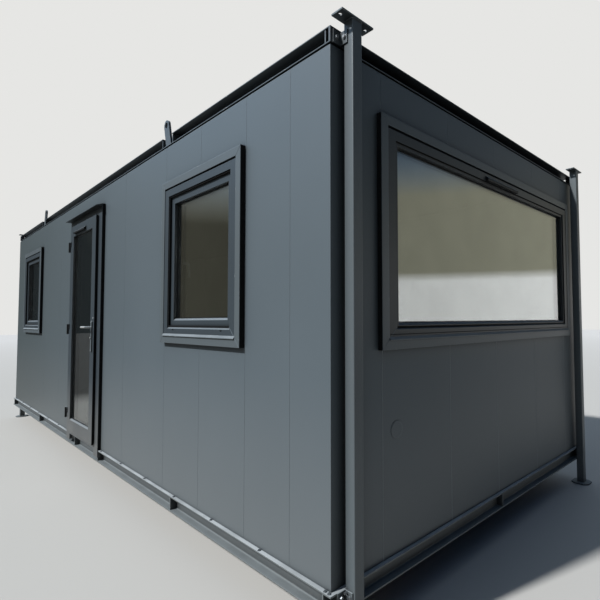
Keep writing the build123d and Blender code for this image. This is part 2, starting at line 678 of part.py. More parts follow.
def leaf_hinge(middle):
    """Leaf half of a hinge: upper knuckle bored for the pin, and a plate on the face of the leaf."""
    half = HINGE_HEIGHT / 2
    knuckle = Cylinder(HINGE_R, half - SEAT, align=(Align.CENTER, Align.CENTER, Align.MIN))
    plate = block(
        0, HINGE_OUT_X + HINGE_PLATE_W, HINGE_OUT_Y - HINGE_PLATE_T, HINGE_OUT_Y, 0, half - SEAT
    )
    bore = Cylinder(
        HINGE_PIN_R + PIN_CLEARANCE, half - HINGE_PLATE_T, align=(Align.CENTER, Align.CENTER, Align.MIN)
    )
    return Pos(HINGE_X, HINGE_Y, middle + SEAT) * (knuckle + plate - bore)


def vent(length):
    """Canopied trickle vent about x = 0, with its back on y = 0 and its foot on z = 0."""
    outline = Polyline(
        (0, 0),
        (-VENT_DEPTH, 0),
        (-VENT_DEPTH, VENT_HEIGHT / 2),
        (0, VENT_HEIGHT),
        close=True,
    )
    return extrude(Plane.YZ * make_face(outline), amount=length / 2, both=True)


def door_vent():
    """Trickle vent on the top rail of the door."""
    bottom = LEAF_TOP - STILE + (STILE - VENT_HEIGHT) / 4
    return Pos(DOOR_X - DOOR_VENT_ASIDE, LEAF_FRONT, bottom) * vent(DOOR_VENT_LENGTH)


def wide_window_vent():
    """Trickle vent along the lower edge of the wide window's head."""
    bottom = WINDOW_BOTTOM + WIDE_WINDOW_HEIGHT - TRIM_FACE - FIXED_FRAME_FACE
    place = Pos(WIDE_WINDOW_Y, -LENGTH / 2 - WINDOW_FRAME_PROUD, bottom)
    return turned("right", place * vent(WIDE_VENT_LENGTH))


os.makedirs("parts", exist_ok=True)

# Chassis and floor
for side in TURN:
    save(f"chassis_{side}", chassis_member(side))
save("chassis_joists", *chassis_joists())
save("floor_deck", floor_deck())

# Walls
left_part, right_part, over_part = front_walls()
save("front_wall_left", left_part)
save("front_wall_right", right_part)
save("front_wall_over_door", over_part)
save("back_wall", turned("back", wall_panel("back", even_joints(LENGTH / 2))))
save("left_wall", turned("left", wall_panel("left", even_joints(WIDTH / 2))))
end_wall = wall_panel("right", END_JOINTS)
end_wall -= window_opening(WIDE_WINDOW_Y, WIDE_WINDOW_WIDTH, WIDE_WINDOW_HEIGHT, LENGTH / 2)
save("right_wall", turned("right", end_wall))

# Roof
for side in TURN:
    save(f"roof_rail_{side}", roof_rail(side))
save("roof_deck", roof_deck())
save("ceiling", ceiling())
save("lifting_lugs", *[lifting_lug(x, side) for side in ("front", "back") for x in lug_places(side)])

# Jack legs
for end, end_name in ((-1, "left"), (1, "right")):
    for across, across_name in ((-1, "front"), (1, "back")):
        save(f"leg_{across_name}_{end_name}", jack_leg(end, across))
save("leg_cleats", *leg_cleats())

# Windows
opening_kind = (OPENING_FRAME_FACE, SASH_FACE, SASH_STEP, SASH_DEPTH, 0.0)
fixed_kind = (FIXED_FRAME_FACE, BEAD_FACE, BEAD_STEP, BEAD_DEPTH, SILL_BAR)
for prefix, centre in (("near_window", NEAR_WINDOW_X), ("far_window", FAR_WINDOW_X)):
    window(prefix, "front", centre, SMALL_WINDOW_WIDTH, SMALL_WINDOW_HEIGHT, SASH_BORDER, opening_kind)
window("wide_window", "right", WIDE_WINDOW_Y, WIDE_WINDOW_WIDTH, WIDE_WINDOW_HEIGHT, BEAD_BORDER, fixed_kind)
save("window_handles", window_handle(NEAR_WINDOW_X), window_handle(FAR_WINDOW_X))
save("wide_window_vent", wide_window_vent())

# Door
save("door_frame", door_frame())
save("door_canopy", door_canopy())
save("door_threshold", door_threshold())
save("door_hinges", *[frame_hinge(middle) for middle in HINGE_PLACES])
save("door_leaf", door_leaf())
save("door_glass", *door_glass())
save("door_leaf_hinges", *[leaf_hinge(middle) for middle in HINGE_PLACES])
save("door_vent", door_vent())
save("door_lock_plates", lock_plate(LEAF_FRONT, -1), lock_plate(LEAF_BACK, 1))
save("door_lever", door_lever())
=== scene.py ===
import math
import bmesh
import bpy
from mathutils import Matrix, Vector


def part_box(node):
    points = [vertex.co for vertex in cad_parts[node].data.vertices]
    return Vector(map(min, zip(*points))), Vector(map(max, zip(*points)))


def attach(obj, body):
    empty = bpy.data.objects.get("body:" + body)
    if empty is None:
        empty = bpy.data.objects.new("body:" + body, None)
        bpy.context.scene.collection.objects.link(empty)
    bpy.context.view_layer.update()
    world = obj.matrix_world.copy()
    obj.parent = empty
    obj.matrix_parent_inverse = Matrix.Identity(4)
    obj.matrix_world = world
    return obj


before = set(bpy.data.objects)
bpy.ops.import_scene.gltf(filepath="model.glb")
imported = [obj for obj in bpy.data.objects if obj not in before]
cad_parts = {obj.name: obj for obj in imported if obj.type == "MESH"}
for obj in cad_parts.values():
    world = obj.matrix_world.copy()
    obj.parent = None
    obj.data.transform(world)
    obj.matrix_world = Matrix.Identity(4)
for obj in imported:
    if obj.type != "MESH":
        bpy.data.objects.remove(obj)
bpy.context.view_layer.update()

# Chassis: rolled steel channels welded at the corners, open side out, with stiffener plates and
# joists between them. Sprayed with anthracite two-pack paint over primer, dusty from the yard, with
# chipped edges. Its pale edges are partly wear and partly painted highlight, and painted shade darkens
# its corners and the faces that look down.
CHASSIS_PAINT = "#676d6f"
PAINT_CLOUD = "#566065"
YARD_DUST = "#8b8984"
SETTLED_DUST = "#8f979b"
LEDGE_DUST = "#aab0b3"
LOW_DUST = "#6d7476"
PAINT_CHIP = "#c9cdcf"
# Pale edge colour: partly wear, partly a painted highlight where edges catch the light.
EDGE_WEAR_AND_HIGHLIGHT = "#848e94"
# Near-black painted shade, for corners and slots and for faces that look down.
PAINTED_SHADE_DARK = "#0c1013"
UNDERSIDE_PAINTED_SHADE = 0.7
CORNER_SHADE_REACH = 0.08
CHASSIS_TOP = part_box("chassis_front")[1].z
LEDGE_ZONE = (CHASSIS_TOP - 0.02, CHASSIS_TOP - 0.01)
SPLASH_HEIGHT = 0.35
PAINT_CLOUD_SIZE = 0.18
SPLASH_SPECK_SIZE = 0.012
CHIP_SIZE = 0.03
CHIP_SPREAD = (0.66, 0.69)
# What a noise mostly lies between, and the upward part of the normal of faces that look up and down.
NOISE_SPREAD = (0.3, 0.7)
LOOKS_UP = (0.3, 0.9)
LOOKS_DOWN = (-0.5, -0.9)
ORANGE_PEEL = 0.004
ORANGE_PEEL_DEPTH = 0.00012
PRESSED_EDGE = 0.003


def linear(hex_colour):
    """An sRGB hex colour as the linear colour that a shader takes."""
    parts = [int(hex_colour[i:i + 2], 16) / 255 for i in (1, 3, 5)]
    return [c / 12.92 if c <= 0.04045 else ((c + 0.055) / 1.055) ** 2.4 for c in parts] + [1.0]


def add(tree, kind, inputs=None, **settings):
    """One node of a tree, with its settings, its input values and the outputs that feed it."""
    made = tree.nodes.new(kind)
    for name, value in settings.items():
        setattr(made, name, value)
    for socket, value in (inputs or {}).items():
        if isinstance(value, bpy.types.NodeSocket):
            tree.links.new(value, made.inputs[socket])
        else:
            made.inputs[socket].default_value = value
    return made


def new_finish(name, **values):
    """A material, its tree and its surface shader, with the values that are the same all over it."""
    made = bpy.data.materials.new(name)
    made.use_nodes = True
    shader = made.node_tree.nodes["Principled BSDF"]
    for socket, value in values.items():
        shader.inputs[socket.replace("_", " ")].default_value = value
    return made, made.node_tree, shader


def fed(made, shader, **outputs):
    """The material, with outputs linked to its shader's sockets."""
    for socket, output in outputs.items():
        made.node_tree.links.new(output, shader.inputs[socket.replace("_", " ")])
    return made


def dress(nodes, finish):
    """Give the finish to pieces that come from the frame."""
    for name in nodes:
        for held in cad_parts[name].material_slots:
            held.material = finish


def place_of(tree):
    """Where a point is, in metres of the shared frame."""
    return add(tree, "ShaderNodeTexCoord").outputs["Object"]


def normal_of(tree):
    """The way a face looks."""
    return add(tree, "ShaderNodeNewGeometry").outputs["Normal"]


def axes(tree, vector):
    """The x, y and z of a vector."""
    return add(tree, "ShaderNodeSeparateXYZ", {0: vector}).outputs


def mixed(tree, factor, first, second):
    """Colour between two, which are hex colours or outputs."""
    first, second = [linear(end) if isinstance(end, str) else end for end in (first, second)]
    return add(tree, "ShaderNodeMix", {0: factor, 6: first, 7: second}, data_type="RGBA").outputs[2]


def noise(tree, place, grain, detail=3.0, stretch=(1, 1, 1)):
    """Noise with lumps of about one grain, in metres, longer along an axis with a small stretch."""
    spread = add(tree, "ShaderNodeMapping", {"Vector": place, "Scale": stretch}).outputs[0]
    inputs = {"Vector": spread, "Scale": 1 / grain, "Detail": detail}
    return add(tree, "ShaderNodeTexNoise", inputs).outputs[0]


def ranged(tree, value, low, high, to_low=0.0, to_high=1.0):
    """A value moved from one range to another, and held inside it."""
    inputs = {"Value": value, "From Min": low, "From Max": high, "To Min": to_low, "To Max": to_high}
    return add(tree, "ShaderNodeMapRange", inputs).outputs[0]


def calculated(tree, operation, *values):
    """One step of arithmetic between values."""
    return add(tree, "ShaderNodeMath", dict(enumerate(values)), operation=operation).outputs[0]


def product(tree, first, second):
    """Two values multiplied."""
    return calculated(tree, "MULTIPLY", first, second)


def bumped(tree, height, depth, normal):
    """A normal with ups and downs on it, whose depth is in metres."""
    return add(tree, "ShaderNodeBump", {"Height": height, "Distance": depth, "Normal": normal}).outputs[0]


def surface(tree, edge_radius):
    """Where a point is, how far its face looks up, its rounded normal, and how near it is to an edge."""
    normal = normal_of(tree)
    rounded = add(tree, "ShaderNodeBevel", {"Radius": edge_radius}, samples=6).outputs[0]
    both = {0: normal, 1: rounded}
    agreement = add(tree, "ShaderNodeVectorMath", both, operation="DOT_PRODUCT").outputs[1]
    return place_of(tree), axes(tree, normal)[2], rounded, ranged(tree, agreement, 0.995, 0.9)


def painted_corner_shade(tree, colour, reach, deepest):
    """The colour darkened toward near black where corners and slots close it in, up to a reach in metres:
    painted shade.
    """
    openness = add(tree, "ShaderNodeAmbientOcclusion", {"Distance": reach}, samples=8).outputs["AO"]
    return mixed(tree, ranged(tree, openness, 0.4, 0.92, deepest, 0.0), colour, PAINTED_SHADE_DARK)


def dusty_steel(name, paint, dust_low, dust_high, edge_wear_and_highlight=0.35, dust_on_top=SETTLED_DUST):
    """Sprayed paint with orange peel: pale soft edges that are partly wear and partly painted highlight,
    dust on what faces up, splashes low down, and painted shade in corners and below.
    """
    made, tree, shader = new_finish(name, IOR=1.5)
    place, upward, rounded, edge = surface(tree, PRESSED_EDGE)
    height = axes(tree, place)[2]
    cloud = noise(tree, place, PAINT_CLOUD_SIZE, 5.0)
    speck = noise(tree, place, SPLASH_SPECK_SIZE, 2.0)
    settled = product(tree, ranged(tree, upward, *LOOKS_UP), ranged(tree, cloud, 0.3, 0.6, 0.55, 0.95))
    rise = ranged(tree, height, 0.0, SPLASH_HEIGHT, dust_high, dust_low)
    splashed = product(tree, rise, ranged(tree, speck, 0.42, 0.66))
    film = product(tree, rise, ranged(tree, cloud, 0.35, 0.7, 0.15, 0.6))
    dirt = calculated(tree, "MAXIMUM", splashed, film)
    tone = mixed(tree, ranged(tree, cloud, *NOISE_SPREAD, 0.0, 0.35), paint, PAINT_CLOUD)
    # Pale edges: partly wear, partly painted highlight.
    worn_and_lit = product(tree, edge, ranged(tree, cloud, 0.35, 0.65, 0.4 * edge_wear_and_highlight, edge_wear_and_highlight))
    tone = mixed(tree, worn_and_lit, tone, EDGE_WEAR_AND_HIGHLIGHT)
    tone = mixed(tree, dirt, tone, YARD_DUST)
    # Painted shade on faces that look down.
    tone = mixed(tree, ranged(tree, upward, *LOOKS_DOWN, 0.0, UNDERSIDE_PAINTED_SHADE), tone, PAINTED_SHADE_DARK)
    chips = product(tree, edge, ranged(tree, noise(tree, place, CHIP_SIZE, 2.0), *CHIP_SPREAD))
    tone = mixed(tree, chips, tone, PAINT_CHIP)
    lying = mixed(tree, ranged(tree, height, *LEDGE_ZONE), LOW_DUST, dust_on_top)
    # Painted shade in corners and slots, with the dust laid over it.
    tone = mixed(tree, settled, painted_corner_shade(tree, tone, CORNER_SHADE_REACH, 0.9), lying)
    dulled = calculated(tree, "MAXIMUM", settled, dirt)
    peel = noise(tree, place, ORANGE_PEEL, 1.0)
    return fed(
        made, shader, Base_Color=tone, Roughness=ranged(tree, dulled, 0.0, 0.7, 0.38, 0.8),
        Normal=bumped(tree, peel, ORANGE_PEEL_DEPTH, rounded),
    )


chassis_paint = dusty_steel("sprayed_chassis_paint", CHASSIS_PAINT, 0.12, 0.5, dust_on_top=LEDGE_DUST)
dress(["chassis_front", "chassis_right", "chassis_back", "chassis_left", "chassis_joists"], chassis_paint)

# Ledge screws: zinc-plated hexagon-head screws driven down through the chassis ledge. Heads in loose
# rows are made by one tree of nodes, which stands a head on each point and turns it to face out.
LEDGE_SCREW_PITCH = 0.512
LEDGE_SCREW_FROM_END = 0.047
LEDGE_SCREW_PAIR = 0.026
LEDGE_SCREW_FROM_EDGE = 0.011
HEAD_SIZES = {"Head Radius": 0.008, "Head Height": 0.006, "Washer Radius": 0.012, "Washer Height": 0.002,
              "Crown": 0.85}
HEAD_COUNTS = {"Head Sides": 6, "Washer Sides": 16}
FACING_UP = (0, 0, 1)
FACING_FRONT = (0, -1, 0)
ZINC = "#8f9294"
ZINC_CLOUD = "#6f7274"
METAL_CLOUD_SIZE = 0.03


def new_tree(name, sizes, counts):
    """A tree of geometry nodes that takes named sizes, named counts and a finish, and what it is given."""
    tree = bpy.data.node_groups.new(name, "GeometryNodeTree")
    face = tree.interface
    face.new_socket("Geometry", in_out="INPUT", socket_type="NodeSocketGeometry")
    for values, kind in ((sizes, "NodeSocketFloat"), (counts, "NodeSocketInt")):
        for socket, default in values.items():
            face.new_socket(socket, in_out="INPUT", socket_type=kind).default_value = default
    face.new_socket("Finish", in_out="INPUT", socket_type="NodeSocketMaterial")
    face.new_socket("Geometry", in_out="OUTPUT", socket_type="NodeSocketGeometry")
    return tree, add(tree, "NodeGroupInput").outputs


def end_tree(tree, mesh, finish):
    """Send out the mesh, made real and with its finish."""
    real = add(tree, "GeometryNodeRealizeInstances", {0: mesh}).outputs[0]
    painted = add(tree, "GeometryNodeSetMaterial", {"Geometry": real, "Material": finish}).outputs[0]
    add(tree, "NodeGroupOutput", {0: painted})
    return tree


def raised(tree, mesh, height):
    """A mesh moved up."""
    move = add(tree, "ShaderNodeCombineXYZ", {2: height}).outputs[0]
    return add(tree, "GeometryNodeTransform", {0: mesh, "Translation": move}).outputs[0]


def head_tree():
    """Heads on points: a washer with a head on it, turned to the way each point faces."""
    tree, given = new_tree("heads_on_points", HEAD_SIZES, HEAD_COUNTS)
    disc = add(tree, "GeometryNodeMeshCylinder", {
        "Vertices": given["Washer Sides"], "Radius": given["Washer Radius"],
        "Depth": given["Washer Height"]}).outputs[0]
    head = add(tree, "GeometryNodeMeshCone", {
        "Vertices": given["Head Sides"], "Radius Bottom": given["Head Radius"],
        "Radius Top": product(tree, given["Head Radius"], given["Crown"]),
        "Depth": given["Head Height"]}).outputs[0]
    both = add(tree, "GeometryNodeJoinGeometry")
    tree.links.new(raised(tree, disc, product(tree, given["Washer Height"], 0.5)), both.inputs[0])
    tree.links.new(raised(tree, head, given["Washer Height"]), both.inputs[0])
    facing = add(tree, "GeometryNodeInputNamedAttribute", {0: "facing"}, data_type="FLOAT_VECTOR").outputs[0]
    turn = add(tree, "FunctionNodeAlignRotationToVector", {"Vector": facing}, axis="Z").outputs[0]
    spin_range = {2: 0.0, 3: math.tau, "Seed": 7}
    spin = add(tree, "FunctionNodeRandomValue", spin_range, data_type="FLOAT").outputs[1]
    spin = add(tree, "ShaderNodeCombineXYZ", {2: spin}).outputs[0]
    own = add(tree, "FunctionNodeEulerToRotation", {0: spin}).outputs[0]
    turned = add(tree, "FunctionNodeRotateRotation", {0: turn, 1: own}, rotation_space="LOCAL").outputs[0]
    placed = add(tree, "GeometryNodeInstanceOnPoints", {
        "Points": given["Geometry"], "Instance": both.outputs[0], "Rotation": turned}).outputs[0]
    return end_tree(tree, placed, given["Finish"])


def new_object(name, data):
    """An object in the scene, at the origin."""
    made = bpy.data.objects.new(name, data)
    bpy.context.collection.objects.link(made)
    return made


def grown(name, start, tree, **sizes):
    """The plain mesh that a tree of nodes makes from a starting mesh, as a piece."""
    seed = new_object(name, start)
    step = seed.modifiers.new("growth", "NODES")
    step.node_group = tree
    sockets = {item.name: item.identifier for item in tree.interface.items_tree if item.in_out == "INPUT"}
    for size, value in sizes.items():
        step[sockets[size.replace("_", " ")]] = value
    depsgraph = bpy.context.evaluated_depsgraph_get()
    mesh = bpy.data.meshes.new_from_object(seed.evaluated_get(depsgraph), depsgraph=depsgraph)
    seed.modifiers.remove(step)
    seed.data = mesh
    mesh.name = name
    return seed


def points_mesh(name, places, facings):
    """Loose points, each with the way it faces."""
    mesh = bpy.data.meshes.new(name)
    mesh.from_pydata([tuple(p) for p in places], [], [])
    facing = mesh.attributes.new("facing", "FLOAT_VECTOR", "POINT")
    for index, way in enumerate(facings):
        facing.data[index].vector = way
    return mesh


def fixings(name, places, facings, body, slot, **sizes):
    """Heads as one piece that rides on a body; facings is one way for all, or a list with one each."""
    if isinstance(facings, tuple):
        facings = [facings] * len(places)
    piece = grown(name, points_mesh(name + "_points", places, facings), heads, **sizes)
    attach(piece, body)


def plated_steel(name, colour, cloud_colour, roughness, metallic=1.0):
    """Zinc plate or stainless steel that has dulled outdoors: soft metal shine with faint clouding."""
    made, tree, shader = new_finish(name, Metallic=metallic)
    cloud = noise(tree, place_of(tree), METAL_CLOUD_SIZE, 3.0)
    return fed(
        made, shader, Base_Color=mixed(tree, cloud, colour, cloud_colour),
        Roughness=ranged(tree, cloud, *NOISE_SPREAD, roughness, roughness + 0.2),
    )


heads = head_tree()
# Duller and darker than the other metals, with clouds of white rust.
zinc = plated_steel("zinc_plated_screws", ZINC, ZINC_CLOUD, 0.4)
front_low, front_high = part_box("chassis_front")
back_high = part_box("chassis_back")[1]
door_trim_low, door_trim_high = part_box("door_frame")
screw_xs = []
next_x = front_high.x - LEDGE_SCREW_FROM_END
while next_x > front_low.x:
    screw_xs.append(next_x)
    next_x -= LEDGE_SCREW_PITCH
screw_xs.append(front_high.x - LEDGE_SCREW_FROM_END + LEDGE_SCREW_PAIR)
ledge_places = [(x, back_high.y - LEDGE_SCREW_FROM_EDGE, CHASSIS_TOP) for x in screw_xs]
for x in screw_xs:
    if not door_trim_low.x - LEDGE_SCREW_PAIR < x < door_trim_high.x + LEDGE_SCREW_PAIR:
        ledge_places.append((x, front_low.y + LEDGE_SCREW_FROM_EDGE, CHASSIS_TOP))
fixings(
    "ledge_screws", ledge_places, FACING_UP, "cabin", "chassis_steel",
    Head_Radius=0.0065, Head_Height=0.005, Washer_Radius=0.009, Washer_Height=0.0012, Finish=zinc,
)

# Floor: a phenolic-faced plywood board laid on the joists inside the walls, with grey safety vinyl
# sheet glued down on top of it.
VINYL = "#77756f"
VINYL_FLECK = "#9a978f"
VINYL_FLECK_SIZE = 0.006
PLYWOOD = "#6b4f37"
PLYWOOD_GRAIN = "#4e3826"
PLYWOOD_GRAIN_SIZE = 0.02
PLYWOOD_STRETCH = (0.08, 1, 1)


def vinyl_on_plywood():
    """Flecked safety vinyl above, and brown film-faced plywood where the face looks down or out."""
    made, tree, shader = new_finish("vinyl_on_plywood", Roughness=0.55, IOR=1.5)
    place = place_of(tree)
    fleck = ranged(tree, noise(tree, place, VINYL_FLECK_SIZE, 1.0), 0.5, 0.62)
    vinyl = mixed(tree, fleck, VINYL, VINYL_FLECK)
    grain = noise(tree, place, PLYWOOD_GRAIN_SIZE, 4.0, PLYWOOD_STRETCH)
    board = mixed(tree, grain, PLYWOOD, PLYWOOD_GRAIN)
    on_top = ranged(tree, axes(tree, normal_of(tree))[2], 0.4, 0.6)
    return fed(made, shader, Base_Color=mixed(tree, on_top, board, vinyl))


dress(["floor_deck"], vinyl_on_plywood())

# Walls: insulated panels faced outside with flat anthracite coil-coated steel and inside with white
# lining. They stand on the chassis and meet at vertical joints.
WALL_COAT = "#555f65"
WALL_COAT_PALE = "#586268"
WALL_FAR_PAINTED_SHADE = "#414949"
# Painted shade: the coat is darkened toward the far end, less and less up to this x.
WALL_FAR_SHADE_TO = 1.5
WALL_FAR_SHADE_SHARE = 0.75
WALL_CLOUD_SIZE = 0.9
# Painted highlight on the wall's folded corners and on the edges of its joints.
FOLD_PAINTED_HIGHLIGHT = "#838d93"
FOLD_PAINTED_HIGHLIGHT_SHARE = 0.6
FOOT_DUST_HEIGHT = 0.9
FOOT_DUST_SHARE = 0.2
WALL_SHADE_REACH = 0.16
LINING = "#d9d8d2"
LINING_DEPTH = 0.002
WALL_FOLD = 0.0035
OIL_CANNING = 0.45
OIL_CANNING_DEPTH = 0.0008
over_door_low, over_door_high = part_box("front_wall_over_door")
WALL_THICKNESS = over_door_high.y - over_door_low.y
BODY_LOW, BODY_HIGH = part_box("left_wall")[0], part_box("right_wall")[1]
BODY_MIDDLE_Y = (BODY_LOW.y + BODY_HIGH.y) / 2


def coil_coated_wall():
    """Matt polyester coat on thin steel: even but for painted shade toward the far end and in corners,
    faintly wavy, dusty at its foot, with painted highlights on folds and joints, and lined in white.
    """
    made, tree, shader = new_finish("coil_coated_wall", IOR=1.5, Roughness=0.42, Specular_IOR_Level=0.4)
    place, _, rounded, edge = surface(tree, WALL_FOLD)
    x, y, z = axes(tree, place)
    inner_x = BODY_HIGH.x - WALL_THICKNESS + LINING_DEPTH
    inner_y = BODY_HIGH.y - BODY_MIDDLE_Y - WALL_THICKNESS + LINING_DEPTH
    beside = calculated(tree, "ABSOLUTE", calculated(tree, "SUBTRACT", y, BODY_MIDDLE_Y))
    within_x = calculated(tree, "LESS_THAN", calculated(tree, "ABSOLUTE", x), inner_x)
    within_y = calculated(tree, "LESS_THAN", beside, inner_y)
    cloud = noise(tree, place, WALL_CLOUD_SIZE, 3.0)
    coat = mixed(tree, ranged(tree, cloud, *NOISE_SPREAD), WALL_COAT, WALL_COAT_PALE)
    # Painted shade toward the far end.
    coat = mixed(tree, ranged(tree, x, BODY_LOW.x, WALL_FAR_SHADE_TO, WALL_FAR_SHADE_SHARE, 0.0), coat, WALL_FAR_PAINTED_SHADE)
    foot = ranged(tree, z, CHASSIS_TOP, CHASSIS_TOP + FOOT_DUST_HEIGHT, FOOT_DUST_SHARE, 0.0)
    # Dust at the foot, then painted shade in corners and joints.
    coat = painted_corner_shade(tree, mixed(tree, foot, coat, YARD_DUST), WALL_SHADE_REACH, 0.85)
    # Painted highlight on folds and joint edges.
    coat = mixed(tree, product(tree, edge, FOLD_PAINTED_HIGHLIGHT_SHARE), coat, FOLD_PAINTED_HIGHLIGHT)
    wave = noise(tree, place, OIL_CANNING, 1.0, (1, 1, 0.5))
    return fed(
        made, shader, Base_Color=mixed(tree, product(tree, within_x, within_y), coat, LINING),
        Normal=bumped(tree, wave, OIL_CANNING_DEPTH, rounded),
    )


wall_coat = coil_coated_wall()
dress(["front_wall_left", "front_wall_right", "front_wall_over_door"], wall_coat)
dress(["back_wall", "left_wall", "right_wall"], wall_coat)

# Round cover: a pressed steel blank over an unused service hole, sprayed with the wall's coat and
# held by its own spring clips. It stands a few millimetres off the end wall.
COVER_RADIUS = 0.046
COVER_FROM_FRONT = 0.445
COVER_ABOVE_CHASSIS = 0.613
fixings(
    "round_cover", [(BODY_HIGH.x, BODY_LOW.y + COVER_FROM_FRONT, CHASSIS_TOP + COVER_ABOVE_CHASSIS)],
    (1, 0, 0), "cabin", "wall_coat",
    Head_Radius=COVER_RADIUS * 0.86, Head_Height=0.0012, Washer_Radius=COVER_RADIUS, Washer_Height=0.0022,
    Head_Sides=64, Washer_Sides=64, Crown=0.97, Finish=wall_coat,
)

# Roof rails and lifting eyes: folded steel channels bolted to the corner posts, and burnt-out eye
# plates welded into notches in the long rails. Sprayed like the chassis.
RAIL_PAINT = "#474e52"
rail_paint = dusty_steel("sprayed_rail_paint", RAIL_PAINT, 0.02, 0.3, 0.55)
dress(["roof_rail_front", "roof_rail_right", "roof_rail_back", "roof_rail_left", "lifting_lugs"], rail_paint)

# Weld beads: runs of weld metal where plates and tubes meet, sprayed over with the steel. Beads are
# made by one tree of nodes, which lays a round run along lines and roughens it.
WELD_STEP = 0.006
WELD = {"Bead_Radius": 0.0035, "Unevenness": 0.35, "Ripple_Length": WELD_STEP}
BEAD_SIZES = {"Bead Radius": 0.003, "Unevenness": 0.0, "Ripple Length": 0.006}
BEAD_COUNTS = {"Bead Sides": 8}
CLOSED_WITHIN = 1e-6
LUG_PLACES = (1.882, -2.047)
LUG_HALF_FOOT = 0.0404
LUG_HALF_THICK = 0.008
LUG_WELD_OUT = 0.002


def bead_tree():
    """A bead along lines: a round run of weld, rubber or sealant, with an uneven surface."""
    tree, given = new_tree("bead_along_lines", BEAD_SIZES, BEAD_COUNTS)
    run = add(tree, "GeometryNodeMeshToCurve", {0: given["Geometry"]}).outputs[0]
    circle = {"Resolution": given["Bead Sides"], "Radius": given["Bead Radius"]}
    profile = add(tree, "GeometryNodeCurvePrimitiveCircle", circle).outputs[0]
    swept = {"Curve": run, "Profile Curve": profile, "Fill Caps": True}
    body = add(tree, "GeometryNodeCurveToMesh", swept).outputs[0]
    often = calculated(tree, "DIVIDE", 1.0, given["Ripple Length"])
    ripple = add(tree, "ShaderNodeTexNoise", {"Scale": often, "Detail": 1.0}).outputs[0]
    ripple = calculated(tree, "SUBTRACT", ripple, 0.5)
    for factor in (given["Unevenness"], given["Bead Radius"], 2.0):
        ripple = product(tree, ripple, factor)
    outward = add(tree, "GeometryNodeInputNormal").outputs[0]
    shift = add(tree, "ShaderNodeVectorMath", {0: outward, "Scale": ripple}, operation="SCALE").outputs[0]
    body = add(tree, "GeometryNodeSetPosition", {"Geometry": body, "Offset": shift}).outputs[0]
    body = add(tree, "GeometryNodeSetShadeSmooth", {0: body}).outputs[0]
    return end_tree(tree, body, given["Finish"])


def lines_mesh(name, lines, step):
    """Edges along each line, cut into steps; a line that ends where it starts is closed."""
    points, edges = [], []
    for line in lines:
        corners = [Vector(corner) for corner in line]
        closed = (corners[0] - corners[-1]).length < CLOSED_WITHIN
        first = len(points)
        points.append(corners[0])
        for start, end in zip(corners, corners[1:]):
            parts = max(1, round((end - start).length / step))
            points.extend(start.lerp(end, part / parts) for part in range(1, parts + 1))
        if closed:
            points.pop()
        last = len(points) - 1
        edges.extend((index, index + 1) for index in range(first, last))
        if closed:
            edges.append((last, first))
    mesh = bpy.data.meshes.new(name)
    mesh.from_pydata([tuple(point) for point in points], edges, [])
    return mesh


def beads(name, lines, body, slot, step, **sizes):
    """Beads along lines as one piece that rides on a body; step is the length of a part, in metres."""
    piece = grown(name, lines_mesh(name + "_lines", lines, step), bead_laying, **sizes)
    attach(piece, body)


def level_loop(middle_x, middle_y, z, half_x, half_y, clip=0.0):
    """Closed level rectangle, with its corners clipped when asked."""
    corners = []
    for sx, sy in ((1, 1), (-1, 1), (-1, -1), (1, -1)):
        x, y = middle_x + sx * half_x, middle_y + sy * half_y
        pair = [(x, y - sy * clip, z), (x - sx * clip, y, z)]
        corners.extend(pair if sx == sy else pair[::-1])
    return corners + corners[:1]


bead_laying = bead_tree()
lug_low, lug_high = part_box("lifting_lugs")
lug_welds = []
for y in (lug_low.y + LUG_HALF_THICK, lug_high.y - LUG_HALF_THICK):
    for x in LUG_PLACES:
        half_foot, half_thick = LUG_HALF_FOOT + LUG_WELD_OUT, LUG_HALF_THICK + LUG_WELD_OUT
        lug_welds.append(level_loop(x, y, lug_low.z, half_foot, half_thick, LUG_WELD_OUT))
beads("lug_welds", lug_welds, "cabin", "rail_steel", WELD_STEP, Finish=rail_paint, **WELD)

# Rail bolts: pairs of plated bolts that pull the end rails down on the corner posts. The second of
# each pair stands a little farther in and higher.
RAIL_BOLT_FROM_CORNER = 0.034
RAIL_BOLT_APART = 0.014
RAIL_BOLT_UP = 0.046
RAIL_BOLT_RISE = 0.006
RAIL_BOLT_SUNK = 0.003
rail_low, rail_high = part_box("roof_rail_right")
rail_bolt_places = []
rail_bolt_ways = []
for end in (-1, 1):
    for across in (-1, 1):
        corner_y = rail_low.y if across < 0 else rail_high.y
        for step in (0, 1):
            y = corner_y - across * (RAIL_BOLT_FROM_CORNER + step * RAIL_BOLT_APART)
            z = rail_low.z + RAIL_BOLT_UP + step * RAIL_BOLT_RISE
            rail_bolt_places.append((end * (rail_high.x - RAIL_BOLT_SUNK), y, z))
            rail_bolt_ways.append((end, 0, 0))
fixings(
    "rail_bolts", rail_bolt_places, rail_bolt_ways, "cabin", "rail_steel",
    Head_Radius=0.004, Head_Height=0.003, Washer_Radius=0.005, Washer_Height=0.0008, Finish=zinc,
)

# Roof and ceiling: ribbed coil-coated sheet on the insulated roof panel, screwed through its ribs and
# sealed along the rails, and a white lining board below.
ROOF_COAT = "#5d6366"
PUDDLE_SIZE = 0.35
ROOF_DUST_SIZE = 0.02
RIB_PITCH = 0.333
RIB_COUNT = 10
RIB_HEIGHT = 0.020
ROOF_SCREW_ROWS = 8
ROOF_SCREW_FROM_EDGE = 0.09
SEALANT = "#8b8f90"
FILLER_DUST_SIZE = 0.02
LINING_BOARD = "#dddcd7"
LINING_BOARD_SHADE = "#d4d3cd"
LINING_SHADE_SIZE = 0.5
LEATHER_GRAIN = 0.003
LEATHER_DEPTH = 0.0001


